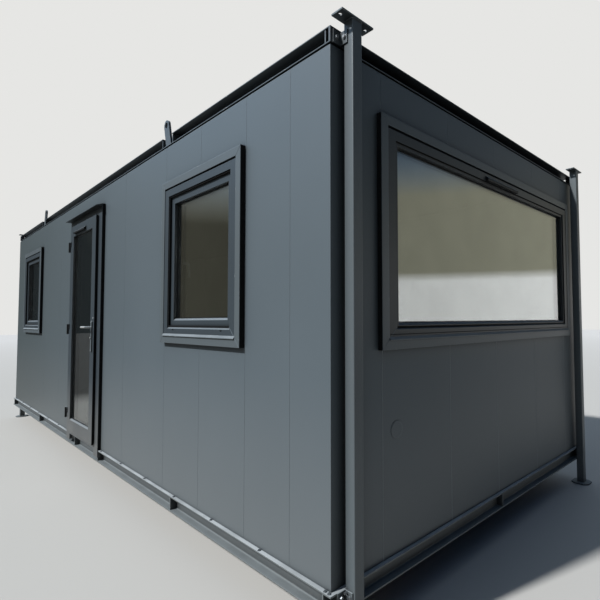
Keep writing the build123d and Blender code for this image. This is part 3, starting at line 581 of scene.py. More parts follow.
def ribbed_roof_sheet():
    """Coil-coated roof sheet with a film of settled dust and dried puddles between its ribs."""
    made, tree, shader = new_finish("ribbed_roof_sheet", IOR=1.45)
    place = place_of(tree)
    puddle = ranged(tree, noise(tree, place, PUDDLE_SIZE, 5.0, (1, 0.5, 1)), 0.42, 0.62, 0.15, 0.6)
    fine = ranged(tree, noise(tree, place, ROOF_DUST_SIZE, 4.0), *NOISE_SPREAD, 0.6, 1.0)
    lying = product(tree, puddle, ranged(tree, axes(tree, normal_of(tree))[2], 0.5, 1.0))
    dust = product(tree, lying, fine)
    return fed(
        made, shader, Base_Color=mixed(tree, dust, ROOF_COAT, YARD_DUST),
        Roughness=ranged(tree, dust, 0.0, 0.6, 0.45, 0.8),
    )


def white_lining():
    """White vinyl-faced board with a faint leather grain."""
    made, tree, shader = new_finish("white_lining_board", Roughness=0.6, IOR=1.5)
    place = place_of(tree)
    tone = mixed(tree, noise(tree, place, LINING_SHADE_SIZE), LINING_BOARD, LINING_BOARD_SHADE)
    grain = noise(tree, place, LEATHER_GRAIN, 2.0)
    return fed(made, shader, Base_Color=tone, Normal=bumped(tree, grain, LEATHER_DEPTH, normal_of(tree)))


def soft_filler(name, colour, roughness, dust=0.08):
    """Rubber, foam or cured sealant: matt, a little uneven, with dust caught on it."""
    made, tree, shader = new_finish(name, IOR=1.5, Roughness=roughness, Specular_IOR_Level=0.25)
    caught = ranged(tree, noise(tree, place_of(tree), FILLER_DUST_SIZE, 3.0), 0.4, 0.8, 0.0, dust)
    return fed(made, shader, Base_Color=mixed(tree, caught, colour, YARD_DUST))


dress(["roof_deck"], ribbed_roof_sheet())
dress(["ceiling"], white_lining())
roof_low, roof_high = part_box("roof_deck")
screw_run = roof_high.y - roof_low.y - 2 * ROOF_SCREW_FROM_EDGE
roof_screws = []
for rib in range(-RIB_COUNT, RIB_COUNT + 1):
    for row in range(ROOF_SCREW_ROWS):
        y = roof_low.y + ROOF_SCREW_FROM_EDGE + screw_run * row / (ROOF_SCREW_ROWS - 1)
        roof_screws.append((rib * RIB_PITCH, y, roof_high.z))
fixings(
    "roof_screws", roof_screws, FACING_UP, "cabin", "roof_coat",
    Head_Radius=0.0055, Head_Height=0.004, Washer_Radius=0.0085, Washer_Height=0.0015, Washer_Sides=12,
    Finish=zinc,
)
roof_middle_y = (roof_low.y + roof_high.y) / 2
roof_half_y = roof_high.y - roof_middle_y
roof_edge = level_loop(0, roof_middle_y, roof_high.z - RIB_HEIGHT, roof_high.x, roof_half_y)
beads(
    "roof_sealant", [roof_edge], "cabin", "roof_coat", step=0.12,
    Bead_Radius=0.006, Unevenness=0.3, Ripple_Length=0.08, Bead_Sides=6,
    Finish=soft_filler("grey_roof_sealant", SEALANT, 0.5),
)

# Jack legs: square steel tubes with welded foot and head plates, bolted to the cabin through angle
# cleats. A plated pin with a wire ring locks each leg at its height.
LEG_PAINT = "#586064"
LEG_HALF = 0.030
LEG_WELD_OUT = 0.0005
LEG_CORNER = 0.005
FOOT_HALF = 0.075
FOOT_THICKNESS = 0.010
HEAD_THICKNESS = 0.008
CLEAT_THICKNESS = 0.006
CLEAT_BOLT_ACROSS = 0.030
CLEAT_BOLT_ALONG = 0.034
CLEAT_BOLT_BELOW_RAIL = 0.044
CLEAT_BOLT_HALF_PITCH = 0.025
PIN_HEIGHT = 0.297
PIN_RADIUS = 0.0075
PIN_ASIDE = 0.015
PIN_OUT = 0.016
RING_RADIUS = 0.0175
RING_LEAN = 0.004
RING_STEPS = 28
LEG_NODES = ["leg_front_left", "leg_back_left", "leg_front_right", "leg_back_right"]
leg_paint = dusty_steel("sprayed_leg_paint", LEG_PAINT, 0.06, 0.5)
dress(LEG_NODES + ["leg_cleats"], leg_paint)
leg_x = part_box("leg_front_right")[1].x - FOOT_HALF
top_z = rail_high.z - CLEAT_BOLT_BELOW_RAIL
low_z = (front_low.z + front_high.z) / 2
low_bolts = (low_z - CLEAT_BOLT_HALF_PITCH, low_z + CLEAT_BOLT_HALF_PITCH)
leg_half_out = LEG_HALF + LEG_WELD_OUT
leg_welds, pins, pin_ways, rings, cleat_bolts, cleat_ways = [], [], [], [], [], []
for node in LEG_NODES:
    low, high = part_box(node)
    end = 1 if low.x > 0 else -1
    across = 1 if low.y > 0 else -1
    x, y = end * leg_x, (low.y + high.y) / 2
    for z in (low.z + FOOT_THICKNESS, high.z - HEAD_THICKNESS):
        leg_welds.append(level_loop(x, y, z, leg_half_out, leg_half_out, LEG_CORNER))
    side_y = y + across * LEG_HALF
    pin_x = x - end * PIN_ASIDE
    pins.append((pin_x, side_y, PIN_HEIGHT))
    pin_ways.append((0, across, 0))
    ring_y = side_y + across * PIN_OUT * 0.6
    ring_z = PIN_HEIGHT - PIN_RADIUS * 0.4 - RING_RADIUS
    ring = []
    for step in range(RING_STEPS + 1):
        turn = step * math.tau / RING_STEPS
        lean = across * RING_LEAN * math.cos(turn)
        up = RING_RADIUS * math.cos(turn)
        ring.append((pin_x + RING_RADIUS * math.sin(turn), ring_y + lean, ring_z + up))
    rings.append(ring)
    for plane, z_places in ((end * BODY_HIGH.x, (top_z,)), (end * front_high.x, low_bolts)):
        for z in z_places:
            cleat_bolts.append((plane + end * CLEAT_THICKNESS, side_y + across * CLEAT_BOLT_ACROSS, z))
            cleat_ways.append((end, 0, 0))
            cleat_bolts.append((plane + end * CLEAT_BOLT_ALONG, side_y + across * CLEAT_THICKNESS, z))
            cleat_ways.append((0, across, 0))
beads("leg_welds", leg_welds, "cabin", "leg_steel", WELD_STEP, Bead_Sides=7, Finish=leg_paint, **WELD)
fixings(
    "cleat_bolts", cleat_bolts, cleat_ways, "cabin", "leg_steel",
    Head_Radius=0.0095, Head_Height=0.0065, Washer_Radius=0.0115, Washer_Height=0.0022, Finish=zinc,
)
fixings(
    "leg_pins", pins, pin_ways, "cabin", "leg_steel",
    Head_Radius=PIN_RADIUS, Head_Height=PIN_OUT, Washer_Radius=0.0115, Washer_Height=0.003,
    Head_Sides=20, Crown=0.8, Finish=zinc,
)
beads(
    "pin_rings", rings, "cabin", "leg_steel", step=0.01,
    Bead_Radius=0.0014, Bead_Sides=6, Finish=zinc,
)

# Window and door trims: steel flashings folded in the wall's coat that cover the cut edges of the
# panels. They stand off the wall on black foam tape, which also stands as painted shade on their
# returns, round their edges and round the doorway. A thin black seal runs round the edge of the door
# leaf's lip and also stands as painted shade there. The door canopy's coat is darkened as painted shade.
TRIM_COAT = "#555d61"
# Nearly black: the canopy's coat stands as painted shade under it.
CANOPY_PAINTED_SHADE = "#1b1f22"
FOAM_AND_SHADE_BLACK = "#08090a"
TRIM_PROUD = 0.031
TAPE_LIP = 0.004
TAPE_PROUD = 0.0006
TAPE_WIDTH = 0.010
LIP_SEAL_WIDTH = 0.004
LIP_SEAL_BACK = 0.016
LIP_SEAL_FRONT = 0.003
WINDOWS = (("near_window", "front"), ("far_window", "front"), ("wide_window", "end"))


def on_side(side, across, up, out):
    """A point beside a wall: along it, up it, and out from its face."""
    if side == "front":
        return across, BODY_LOW.y - out, up
    return BODY_HIGH.x + out, across, up


def inset(span, bar):
    """A span of left, right, foot and head, drawn in by a bar, or out by a negative one."""
    left, right, foot, head = span
    return left + bar, right - bar, foot + bar, head - bar


def upright_loop(side, span, out):
    """Closed upright rectangle beside a wall."""
    left, right, foot, head = span
    corners = ((left, foot), (right, foot), (right, head), (left, head), (left, foot))
    return [on_side(side, across, up, out) for across, up in corners]


def ring_piece(name, side, outer, bar, near, far, body="cabin", open_foot=False):
    """Ring of black foam or rubber beside a wall, between two distances out; its foot bar may be left out."""
    loops = []
    for width in (0.0, bar):
        left, right, foot, head = inset(outer, width)
        for out in (near, far):
            loops.append(upright_loop(side, (left, right, outer[2] if open_foot else foot, head), out)[:4])
    order = (0, 1, 3, 2)
    made = bmesh.new()
    rows = [[made.verts.new(point) for point in loop] for loop in loops]
    for first, second in zip(order, order[1:] + order[:1]):
        for index in range(1 if open_foot else 0, 4):
            after = (index + 1) % 4
            made.faces.new((rows[first][index], rows[first][after], rows[second][after], rows[second][index]))
    if open_foot:
        for index in (0, 1):
            made.faces.new([rows[loop][index] for loop in order])
    bmesh.ops.recalc_face_normals(made, faces=made.faces)
    mesh = bpy.data.meshes.new(name)
    made.to_mesh(mesh)
    made.free()
    mesh.materials.append(black_foam_and_shade)
    piece = new_object(name, mesh)
    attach(piece, body)


def span_of(node, side):
    """The span of a piece on a wall, and how far it stands out."""
    low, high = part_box(node)
    if side == "front":
        return (low.x, high.x, low.z, high.z), BODY_LOW.y - low.y
    return (low.y, high.y, low.z, high.z), high.x - BODY_HIGH.x


# Edges strongly paled, with wear and painted highlight.
trim_coat = dusty_steel("folded_trim_coat", TRIM_COAT, 0.0, 0.1, 0.9)
dress(["near_window_trim", "far_window_trim", "wide_window_trim"], trim_coat)
# The canopy's coat is darkened as painted shade.
dress(["door_canopy"], dusty_steel("canopy_coat_painted_shade", CANOPY_PAINTED_SHADE, 0.0, 0.1, 0.5))
# Nearly black and quite dull, so that it reads as a shadow round each trim.
black_foam_and_shade = soft_filler("black_foam_tape_and_painted_shade", FOAM_AND_SHADE_BLACK, 0.95, 0.03)
for window, side in WINDOWS:
    span = inset(span_of(window + "_trim", side)[0], -TAPE_PROUD)
    ring_piece(window + "_tape", side, span, TAPE_WIDTH, 0.0, TRIM_PROUD - TAPE_LIP)
span, reach = span_of("door_frame", "front")
left, right, foot, head = inset(span, -TAPE_PROUD)
door_span = (left, right, CHASSIS_TOP, head)
ring_piece("door_tape", "front", door_span, TAPE_WIDTH, 0.0, reach - TAPE_LIP, open_foot=True)
# The lip seal also stands as painted shade beside the leaf's edge.
leaf_span, leaf_reach = span_of("door_leaf", "front")
lip_back, lip_front = leaf_reach - LIP_SEAL_BACK, leaf_reach - LIP_SEAL_FRONT
lip_span = inset(leaf_span, -TAPE_PROUD)
ring_piece("door_lip_seal", "front", lip_span, LIP_SEAL_WIDTH, lip_back, lip_front, "door")

# Joint highlights: pale runs in the end wall's panel joints, below the wide window, that stand as
# painted highlights on the joints' edges. They are shaped like sealant laid with a gun, so they are
# never even.
JOINT_PAINTED_HIGHLIGHT = "#8f9698"
JOINT_BEAD = 0.0014
END_JOINTS = (-1.140, -0.540, 0.035, 0.659, 1.259)
wide_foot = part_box("wide_window_trim")[0].z
joint_lines = [
    [on_side("end", across, up, -JOINT_BEAD / 2) for up in (CHASSIS_TOP, wide_foot)] for across in END_JOINTS
]
beads(
    "joint_painted_highlights", joint_lines, "cabin", "wall_coat", step=0.03,
    Bead_Radius=JOINT_BEAD, Unevenness=0.9, Ripple_Length=0.11, Bead_Sides=6,
    Finish=soft_filler("pale_joint_painted_highlight", JOINT_PAINTED_HIGHLIGHT, 0.5),
)

# Window and door profiles: moulded PVC with a smooth anthracite foil, mitred and welded at the corners;
# the wide window's foil is darkened as painted shade. Black gaskets lie in the step of the sashes, made
# deep enough to also stand as painted shade in that step, and in the step of the wide window's bead. A
# black strip in its sill line stands as a painted shadow line, and drain slots lie in the lower bars.
FOIL = "#343c42"
FOIL_CLOUD = "#394248"
# Painted shade: the foil is darker on the wide window, from this x on.
FOIL_WIDE_PAINTED_SHADE = "#14191d"
FOIL_WIDE_SHADE_ZONE = (3.5, 3.55)
FOIL_WIDE_SHADE_SHARE = 0.6
FOIL_CLOUD_SIZE = 0.3
FOIL_GRAIN = 0.0025
FOIL_GRAIN_DEPTH = 0.00005
FOIL_EDGE = 0.002
FOIL_EDGE_SHARE = 0.3
FOIL_DUST_AND_HIGHLIGHT_SHARE = 0.6
FOIL_SPLASH_ZONE = (0.3, 0.95)
FOIL_SHADE_REACH = 0.05
SCRAPED_SEAM = "#6a757c"
TRIM_BAR = 0.050
FRAME_FACE_WIDTH = 0.060
SASH_STEP = 0.020
SASH_GASKET = 0.008
SASH_GASKET_AND_SHADE_DEPTH = 0.014
WIDE_FRAME_FACE = 0.062
WIDE_BEAD_STEP = 0.008
BEAD_GASKET = 0.004
BEAD_GASKET_SUNK = 0.002
SILL_LINE_UP = 0.025
SILL_STRIP_SUNK = 0.001
DRAIN_SLOT = 0.014
DRAIN_APART = 0.65
DRAIN_HEIGHT = 0.041


def foiled_profile():
    """Anthracite foil on PVC: satin, with a fine grain, pale edges of wear and painted highlight, dust and
    painted highlight on what faces up, and painted shade in corners and on the wide window.
    """
    made, tree, shader = new_finish("foiled_pvc_profile", IOR=1.52)
    place, upward, rounded, edge = surface(tree, FOIL_EDGE)
    along, _, height = axes(tree, place)
    grain = noise(tree, place, FOIL_GRAIN, 2.0)
    cloud = noise(tree, place, FOIL_CLOUD_SIZE, 3.0)
    colour = mixed(tree, cloud, FOIL, FOIL_CLOUD)
    # Painted shade on the wide window.
    colour = mixed(tree, ranged(tree, along, *FOIL_WIDE_SHADE_ZONE, 0.0, FOIL_WIDE_SHADE_SHARE), colour, FOIL_WIDE_PAINTED_SHADE)
    # Pale edges: partly wear, partly painted highlight.
    colour = mixed(tree, product(tree, edge, FOIL_EDGE_SHARE), colour, EDGE_WEAR_AND_HIGHLIGHT)
    # Dust and painted highlight on what faces up, such as the bead and sash ledges.
    settled = product(tree, ranged(tree, upward, 0.3, 0.75), FOIL_DUST_AND_HIGHLIGHT_SHARE)
    colour = mixed(tree, settled, colour, SETTLED_DUST)
    low_down = ranged(tree, height, *FOIL_SPLASH_ZONE, 0.45, 0.0)
    splashed = product(tree, low_down, ranged(tree, cloud, *NOISE_SPREAD, 0.6, 1.0))
    colour = mixed(tree, splashed, colour, YARD_DUST)
    return fed(
        # Painted shade in corners.
        made, shader, Base_Color=painted_corner_shade(tree, colour, FOIL_SHADE_REACH, 0.95),
        Roughness=ranged(tree, grain, *NOISE_SPREAD, 0.34, 0.46),
        Normal=bumped(tree, grain, FOIL_GRAIN_DEPTH, rounded),
    )


def mitre_lines(side, outer, bar, out):
    """The lines from the outer corners of a mitred ring to its inner ones, first the two at its foot."""
    return list(zip(upright_loop(side, outer, out)[:4], upright_loop(side, inset(outer, bar), out)))


foil = foiled_profile()
dress(["near_window_frame", "far_window_frame", "wide_window_frame", "door_frame", "door_leaf"], foil)
seams = []
drains = []
for window, side in WINDOWS:
    seams.extend(mitre_lines(side, span_of(window + "_trim", side)[0], TRIM_BAR, TRIM_PROUD))
    span, reach = span_of(window + "_frame", side)
    seams.extend(mitre_lines(side, span, FRAME_FACE_WIDTH, reach)[:2])
    if side == "front":
        sash_face = reach - SASH_STEP
        # Gaskets deep enough to also stand as painted shade on the step under the frame's head.
        ring_piece(
            window + "_sash_gasket", side, inset(span, FRAME_FACE_WIDTH), SASH_GASKET,
            sash_face, sash_face + SASH_GASKET_AND_SHADE_DEPTH,
        )
        middle = (span[0] + span[1]) / 2
        for offset in (-DRAIN_APART / 2, DRAIN_APART / 2):
            ends = (middle + offset - DRAIN_SLOT / 2, middle + offset + DRAIN_SLOT / 2)
            drains.append([on_side(side, across, span[2] + DRAIN_HEIGHT, reach) for across in ends])
    else:
        ring_piece(
            window + "_bead_gasket", side, inset(span, WIDE_FRAME_FACE), BEAD_GASKET,
            reach - WIDE_BEAD_STEP, reach - BEAD_GASKET_SUNK,
        )
        sill_up, sill_out = span[2] + SILL_LINE_UP, reach - SILL_STRIP_SUNK
        sill = [on_side(side, across, sill_up, sill_out) for across in span[:2]]
beads(
    "mitre_seams", seams, "cabin", "frame_profile", step=0.02,
    Bead_Radius=0.0011, Bead_Sides=6, Finish=soft_filler("scraped_mitre_seam", SCRAPED_SEAM, 0.6),
)
# A black strip that stands as a painted shadow line along the wide window's sill.
beads(
    "sill_line_painted_shadow", [sill], "cabin", "frame_profile", step=0.2,
    Bead_Radius=0.0022, Bead_Sides=8, Finish=black_foam_and_shade,
)
beads(
    "drain_slots", drains, "cabin", "frame_profile", step=0.02,
    Bead_Radius=0.0036, Bead_Sides=8, Finish=black_foam_and_shade,
)

# Glass: sealed units of two panes of float glass with a faint low-emission coating, held in black
# rubber gaskets inside and out.
GLASS = "#f6faf8"
GLASS_DUST = "#f0f4f2"
GLASS_DUST_SIZE = 0.25
RUBBER = "#121415"
GASKET_RADIUS = 0.0028
GASKET_BITE = 0.6


def sealed_glass():
    """Coated float glass: clear, faintly green, mirrors more than plain glass, with a film of dust."""
    made, tree, shader = new_finish("coated_float_glass", Roughness=0.0, IOR=2.0, Transmission_Weight=1.0)
    film = ranged(tree, noise(tree, place_of(tree), GLASS_DUST_SIZE, 4.0), *NOISE_SPREAD)
    return fed(made, shader, Base_Color=mixed(tree, film, GLASS, GLASS_DUST))


def gasket_loops(node, side):
    """Upright loops round a sealed unit, just inside its edge, on its outer and its inner face."""
    span, reach = span_of(node, side)
    low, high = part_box(node)
    depth = high.y - low.y if side == "front" else high.x - low.x
    inner = inset(span, GASKET_RADIUS * GASKET_BITE)
    return [upright_loop(side, inner, out) for out in (reach, reach - depth)]


dress(["near_window_glass", "far_window_glass", "wide_window_glass", "door_glass"], sealed_glass())
# Black with a faint sheen, a shade paler than the foam.
rubber = soft_filler("black_gasket_rubber", RUBBER, 0.65)
window_gaskets = [loop for window, side in WINDOWS for loop in gasket_loops(window + "_glass", side)]
beads(
    "window_gaskets", window_gaskets, "cabin", "black_fittings", step=0.25,
    Bead_Radius=GASKET_RADIUS, Bead_Sides=8, Finish=rubber,
)
beads(
    "door_gaskets", gasket_loops("door_glass", "front"), "door", "black_fittings", step=0.25,
    Bead_Radius=GASKET_RADIUS, Bead_Sides=8, Finish=rubber,
)

# Door furniture: black moulded hinges and trickle vents, lock plates sprayed like the trims, a satin
# stainless lever, coated window handles, and an anodised threshold with ribs against slipping. The
# hinges and plates are held by small screws.
NYLON = "#070808"
NYLON_GRAIN = "#0f1112"
SPARK_GRAIN = 0.0015
MOULDED_EDGE = 0.0015
STAINLESS = "#f2f2ee"
HANDLE_COAT = "#ffffff"
ANODISED = "#7f8284"
METAL_CLOUD = "#a3a6a7"
RIB_SHORT = 0.001
THRESHOLD_RIBS = 6
HINGE_HEIGHT = 0.105
HINGE_SCREW_IN = 0.014
HINGE_SCREW_UP = (0.014, 0.037)
HINGE_PLATE = 0.004
LOCK_PLATE_PROUD = 0.009
LOCK_SCREW_IN = 0.014
CYLINDER_DOWN = 0.158
LATCH_COVER_ASIDE = 0.014
LATCH_COVER_UP = 0.025


def black_moulding():
    """Black moulded nylon with a fine spark grain, pale where it faces up with dust and painted highlight."""
    made, tree, shader = new_finish("black_moulded_nylon", IOR=1.53, Specular_IOR_Level=0.25)
    place, upward, rounded, _ = surface(tree, MOULDED_EDGE)
    grain = noise(tree, place, SPARK_GRAIN, 2.0)
    # Dust and painted highlight on what faces up, such as the vents' tops.
    settled = product(tree, ranged(tree, upward, 0.3, 0.8), 0.8)
    tone = mixed(tree, settled, mixed(tree, grain, NYLON, NYLON_GRAIN), SETTLED_DUST)
    roughness = ranged(tree, grain, *NOISE_SPREAD, 0.4, 0.55)
    return fed(made, shader, Base_Color=tone, Roughness=roughness, Normal=rounded)


nylon = black_moulding()
# Pale satin metal with soft highlights, and a darker, duller one to tread on.
stainless = plated_steel("satin_stainless", STAINLESS, METAL_CLOUD, 0.25, 0.5)
threshold = plated_steel("anodised_threshold", ANODISED, METAL_CLOUD, 0.4)
dress(["door_hinges", "door_leaf_hinges", "door_vent", "wide_window_vent"], nylon)
dress(["door_lock_plates"], trim_coat)
dress(["door_lever"], stainless)
dress(["window_handles"], plated_steel("satin_window_handle", HANDLE_COAT, HANDLE_COAT, 0.6))
dress(["door_threshold"], threshold)
sill_low, sill_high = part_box("door_threshold")
ribs = []
for rib in range(THRESHOLD_RIBS):
    y = sill_low.y + (sill_high.y - sill_low.y) * (rib + 0.5) / THRESHOLD_RIBS
    ribs.append([(sill_low.x + RIB_SHORT, y, sill_high.z), (sill_high.x - RIB_SHORT, y, sill_high.z)])
beads(
    "threshold_ribs", ribs, "cabin", "threshold_metal", step=0.2,
    Bead_Radius=0.0014, Bead_Sides=6, Finish=threshold,
)
leaf_plate_low, leaf_plate_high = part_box("door_leaf_hinges")
frame_plate_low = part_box("door_hinges")[0]
leaf_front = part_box("door_leaf")[0].y
top_middle = leaf_plate_high.z - HINGE_HEIGHT / 2
hinge_middles = [leaf_plate_low.z, (leaf_plate_low.z + top_middle) / 2, top_middle]
for name, body, screw_x, front, sign in (
    ("leaf_hinge_screws", "door", leaf_plate_high.x - HINGE_SCREW_IN, leaf_front, 1),
    ("frame_hinge_screws", "cabin", frame_plate_low.x + HINGE_SCREW_IN, door_trim_low.y, -1),
):
    screw_zs = [middle + sign * up for middle in hinge_middles for up in HINGE_SCREW_UP]
    fixings(
        name, [(screw_x, front - HINGE_PLATE, z) for z in screw_zs], FACING_FRONT, body, "black_fittings",
        Head_Radius=0.004, Head_Height=0.0015, Washer_Radius=0.0045, Washer_Height=0.0004, Head_Sides=12,
        Finish=nylon,
    )
plate_low, plate_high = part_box("door_lock_plates")
plate_x = (plate_low.x + plate_high.x) / 2
lock_screw_zs = (plate_low.z + LOCK_SCREW_IN, plate_high.z - LOCK_SCREW_IN)
fixings(
    "lock_plate_screws", [(plate_x, leaf_front - LOCK_PLATE_PROUD, z) for z in lock_screw_zs],
    FACING_FRONT, "door", "satin_steel",
    Head_Radius=0.004, Head_Height=0.0014, Washer_Radius=0.0045, Washer_Height=0.0004, Head_Sides=16,
    Finish=stainless,
)
fixings(
    "lock_cylinder_face", [(plate_x, plate_low.y, plate_high.z - CYLINDER_DOWN)],
    FACING_FRONT, "door", "satin_steel",
    Head_Radius=0.0058, Head_Height=0.0008, Washer_Radius=0.0082, Washer_Height=0.0008,
    Head_Sides=24, Washer_Sides=24, Crown=0.95, Finish=stainless,
)
fixings(
    "latch_cover", [(plate_high.x + LATCH_COVER_ASIDE, leaf_front, plate_high.z + LATCH_COVER_UP)],
    FACING_FRONT, "door", "satin_steel",
    Head_Radius=0.0045, Head_Height=0.002, Washer_Radius=0.006, Washer_Height=0.0006,
    Head_Sides=20, Crown=0.7, Finish=stainless,
)

# Door seal: a black rubber bubble seal, pressed into the back of the leaf's lip, which closes on the
# frame.
SEAL_RADIUS = 0.0024
SEAL_INSET = 0.010
LIP_THICKNESS = 0.017
seal_out = leaf_reach - LIP_THICKNESS - SEAL_RADIUS * GASKET_BITE
beads(
    "door_seal", [upright_loop("front", inset(leaf_span, SEAL_INSET), seal_out)],
    "door", "black_fittings", step=0.25,
    Bead_Radius=SEAL_RADIUS, Bead_Sides=8, Finish=rubber,
)

# Studio: pale floor and backdrop, soft light that grows overhead, and one broad lamp from high in front.
# What gloss and glass mirror changes with height and side. Zones of the floor are in metres along it, and
# those of the light are parts of a direction one long. The camera stands where the photograph was taken.
FLOOR_HALF = 60.0
FLOOR_SEEN = "#b9b8b4"
FLOOR_FAR = "#cbcac8"
FLOOR_FADE = (8.0, 40.0)
FLOOR_LIT = "#8c8b87"
FLOOR_LIT_END = "#b2b1ac"
FLOOR_LIT_FAR = "#3f3e3b"
FLOOR_END_ZONE = (3.4, 4.6)
FLOOR_FAR_RIGHT = (6.0, 8.5)
FLOOR_FAR_LEFT = (-4.3, -5.6)
WHITE = "#ffffff"
BACKDROP = "#e6e6e4"
OVERHEAD = "#c9dcf0"
OVERHEAD_FROM = (0.0, 0.5)
AMBIENT_LOW = 0.05
AMBIENT_HIGH = 0.62
AMBIENT_END_SIDE = 0.16
AMBIENT_END_ZONE = (-0.1, 0.7)
AMBIENT_BACK = 5.0
AMBIENT_BACK_ZONE = (0.65, 0.95)
END_SKY = "#4f8cd8"
END_SKY_ZONE = (0.1, 0.6)
MIRROR_END_SIDE = (0.6, 0.8, 0.0)
MIRROR_END_ZONE = (-0.2, 0.3)
MIRROR_END_LOW = (0.085, 0.105)
MIRROR_END_PALE = 1.22
MIRROR_END_DULL = "#aba997"
MIRROR_END_HIGH = "#8fb4dc"
MIRROR_END_FADE = (0.27, 0.38)
MIRROR_END_DARK = 0.16
MIRROR_FRONT_FADE = (0.2, 0.42)
MIRROR_FRONT_TURN = (0.2, 0.35)
MIRROR_FRONT_DARK = 0.125
MIRROR_FRONT_PALE = 1.25
MIRROR_FRONT_LOW = "#e0ddc6"
MIRROR_FRONT_HIGH = "#abccef"
MIRROR_FAR = "#a9b9c0"
MIRROR_FAR_SHARE = 0.5
MIRROR_FAR_ZONE = (-0.93, -0.96)
SUN_STRENGTH = 4.6
SUN_SOFTNESS = 3.0
SUN_FROM = (-0.2, -0.71, 0.70)
CAMERA_PLACE = (5.1431, -2.7861, 1.4740)
CAMERA_HEADING = 42.916
CAMERA_TILT = 2.540
CAMERA_ROLL = -0.335
CAMERA_LENS = 26.777
CAMERA_SHIFT = -0.125
CAMERA_REACH = 200.0


def between(tree, factor, first, second):
    """Number between two."""
    return add(tree, "ShaderNodeMix", {0: factor, 2: first, 3: second}, data_type="FLOAT").outputs[0]


def studio_floor():
    """Pale floor that takes the cabin's shadow and sends up less light than it shows."""
    mesh = bpy.data.meshes.new("studio_floor")
    corners = [(-1, -1), (1, -1), (1, 1), (-1, 1)]
    mesh.from_pydata([(FLOOR_HALF * x, FLOOR_HALF * y, 0.0) for x, y in corners], [], [(0, 1, 2, 3)])
    pale, tree, shader = new_finish("studio_floor", Roughness=0.9, Specular_IOR_Level=0.1)
    place = place_of(tree)
    distance = add(tree, "ShaderNodeVectorMath", {0: place}, operation="LENGTH").outputs[1]
    shown = mixed(tree, ranged(tree, distance, *FLOOR_FADE), FLOOR_SEEN, FLOOR_FAR)
    along = axes(tree, place)[0]
    sent_up = mixed(tree, ranged(tree, along, *FLOOR_END_ZONE), FLOOR_LIT, FLOOR_LIT_END)
    for zone in (FLOOR_FAR_RIGHT, FLOOR_FAR_LEFT):
        sent_up = mixed(tree, ranged(tree, along, *zone), sent_up, FLOOR_LIT_FAR)
    seen = add(tree, "ShaderNodeLightPath").outputs["Is Camera Ray"]
    mesh.materials.append(fed(pale, shader, Base_Color=mixed(tree, seen, sent_up, shown)))
    new_object("studio_floor", mesh)


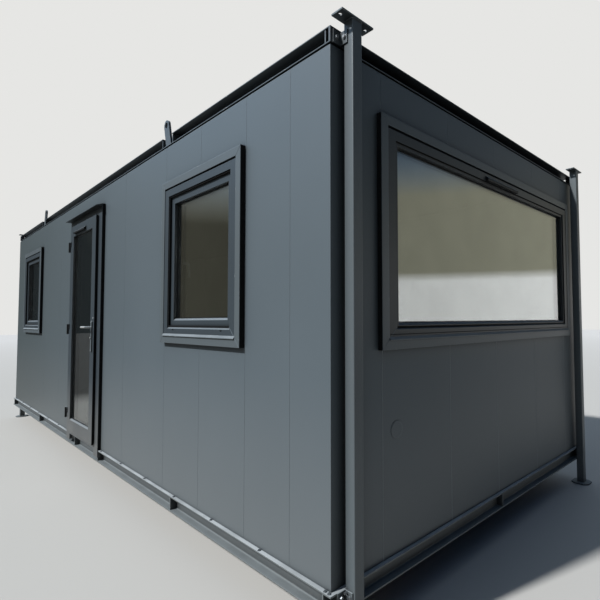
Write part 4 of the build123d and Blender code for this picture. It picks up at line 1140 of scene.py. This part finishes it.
def studio_world():
    """Light that grows overhead, a pale backdrop, and darker and paler sides for gloss and glass."""
    world = bpy.data.worlds.new("studio")
    world.use_nodes = True
    bpy.context.scene.world = world
    tree = world.node_tree
    way = add(tree, "ShaderNodeTexCoord").outputs["Generated"]
    along_x, along_y, height = axes(tree, way)
    path = add(tree, "ShaderNodeLightPath").outputs
    direct = calculated(tree, "LESS_THAN", path["Diffuse Depth"], 0.5)
    mirrored = calculated(tree, "MAXIMUM", path["Is Glossy Ray"], path["Is Transmission Ray"])
    mirrored = product(tree, mirrored, direct)
    sides = {0: way, 1: MIRROR_END_SIDE}
    lean = add(tree, "ShaderNodeVectorMath", sides, operation="DOT_PRODUCT").outputs[1]
    end_side = ranged(tree, lean, *MIRROR_END_ZONE)
    low_band = ranged(tree, height, *MIRROR_END_LOW, 1.0, 0.0)
    dull_strength = ranged(tree, height, *MIRROR_END_FADE, 1.0, MIRROR_END_DARK)
    end_strength = between(tree, low_band, dull_strength, MIRROR_END_PALE)
    dull = mixed(tree, ranged(tree, height, *MIRROR_END_FADE), MIRROR_END_DULL, MIRROR_END_HIGH)
    end_colour = mixed(tree, low_band, dull, WHITE)
    far_side = ranged(tree, along_x, *MIRROR_FAR_ZONE)
    front_strength = ranged(tree, height, *MIRROR_FRONT_FADE, MIRROR_FRONT_DARK, MIRROR_FRONT_PALE)
    front_strength = product(tree, front_strength, between(tree, far_side, 1.0, MIRROR_FAR_SHARE))
    turned = ranged(tree, height, *MIRROR_FRONT_TURN)
    front_colour = mixed(tree, far_side, mixed(tree, turned, MIRROR_FRONT_LOW, MIRROR_FRONT_HIGH), MIRROR_FAR)
    light = ranged(tree, height, 0.0, 1.0, AMBIENT_LOW, AMBIENT_HIGH)
    light = product(tree, light, ranged(tree, along_x, *AMBIENT_END_ZONE, 1.0, AMBIENT_END_SIDE))
    light = product(tree, light, ranged(tree, along_y, *AMBIENT_BACK_ZONE, 1.0, AMBIENT_BACK))
    soft = mixed(tree, ranged(tree, height, *OVERHEAD_FROM), WHITE, OVERHEAD)
    soft = mixed(tree, ranged(tree, along_x, *END_SKY_ZONE), soft, END_SKY)
    strength = between(tree, mirrored, light, between(tree, end_side, front_strength, end_strength))
    colour = mixed(tree, mirrored, soft, mixed(tree, end_side, front_colour, end_colour))
    seen = path["Is Camera Ray"]
    sent = {0: mixed(tree, seen, colour, BACKDROP), 1: between(tree, seen, strength, 1.0)}
    made = add(tree, "ShaderNodeBackground", sent).outputs[0]
    tree.links.new(made, tree.nodes["World Output"].inputs[0])


def studio_sun():
    """One broad lamp from high in front."""
    lamp = bpy.data.lights.new("studio_sun", "SUN")
    lamp.energy = SUN_STRENGTH
    lamp.angle = math.radians(SUN_SOFTNESS)
    made = new_object("studio_sun", lamp)
    made.rotation_euler = Vector(SUN_FROM).to_track_quat("Z", "Y").to_euler()


def photo_camera():
    """Camera at the photograph's place and angle."""
    lens = bpy.data.cameras.new("photo_camera")
    lens.lens = CAMERA_LENS
    lens.shift_x = CAMERA_SHIFT
    lens.clip_end = CAMERA_REACH
    made = new_object("photo_camera", lens)
    turn = Matrix.Rotation(math.radians(CAMERA_HEADING), 4, "Z")
    turn @= Matrix.Rotation(math.radians(90 + CAMERA_TILT), 4, "X")
    turn @= Matrix.Rotation(math.radians(CAMERA_ROLL), 4, "Z")
    made.matrix_world = Matrix.Translation(CAMERA_PLACE) @ turn
    bpy.context.scene.camera = made


studio_floor()
studio_world()
studio_sun()
photo_camera()
bpy.context.scene.view_settings.view_transform = "Standard"
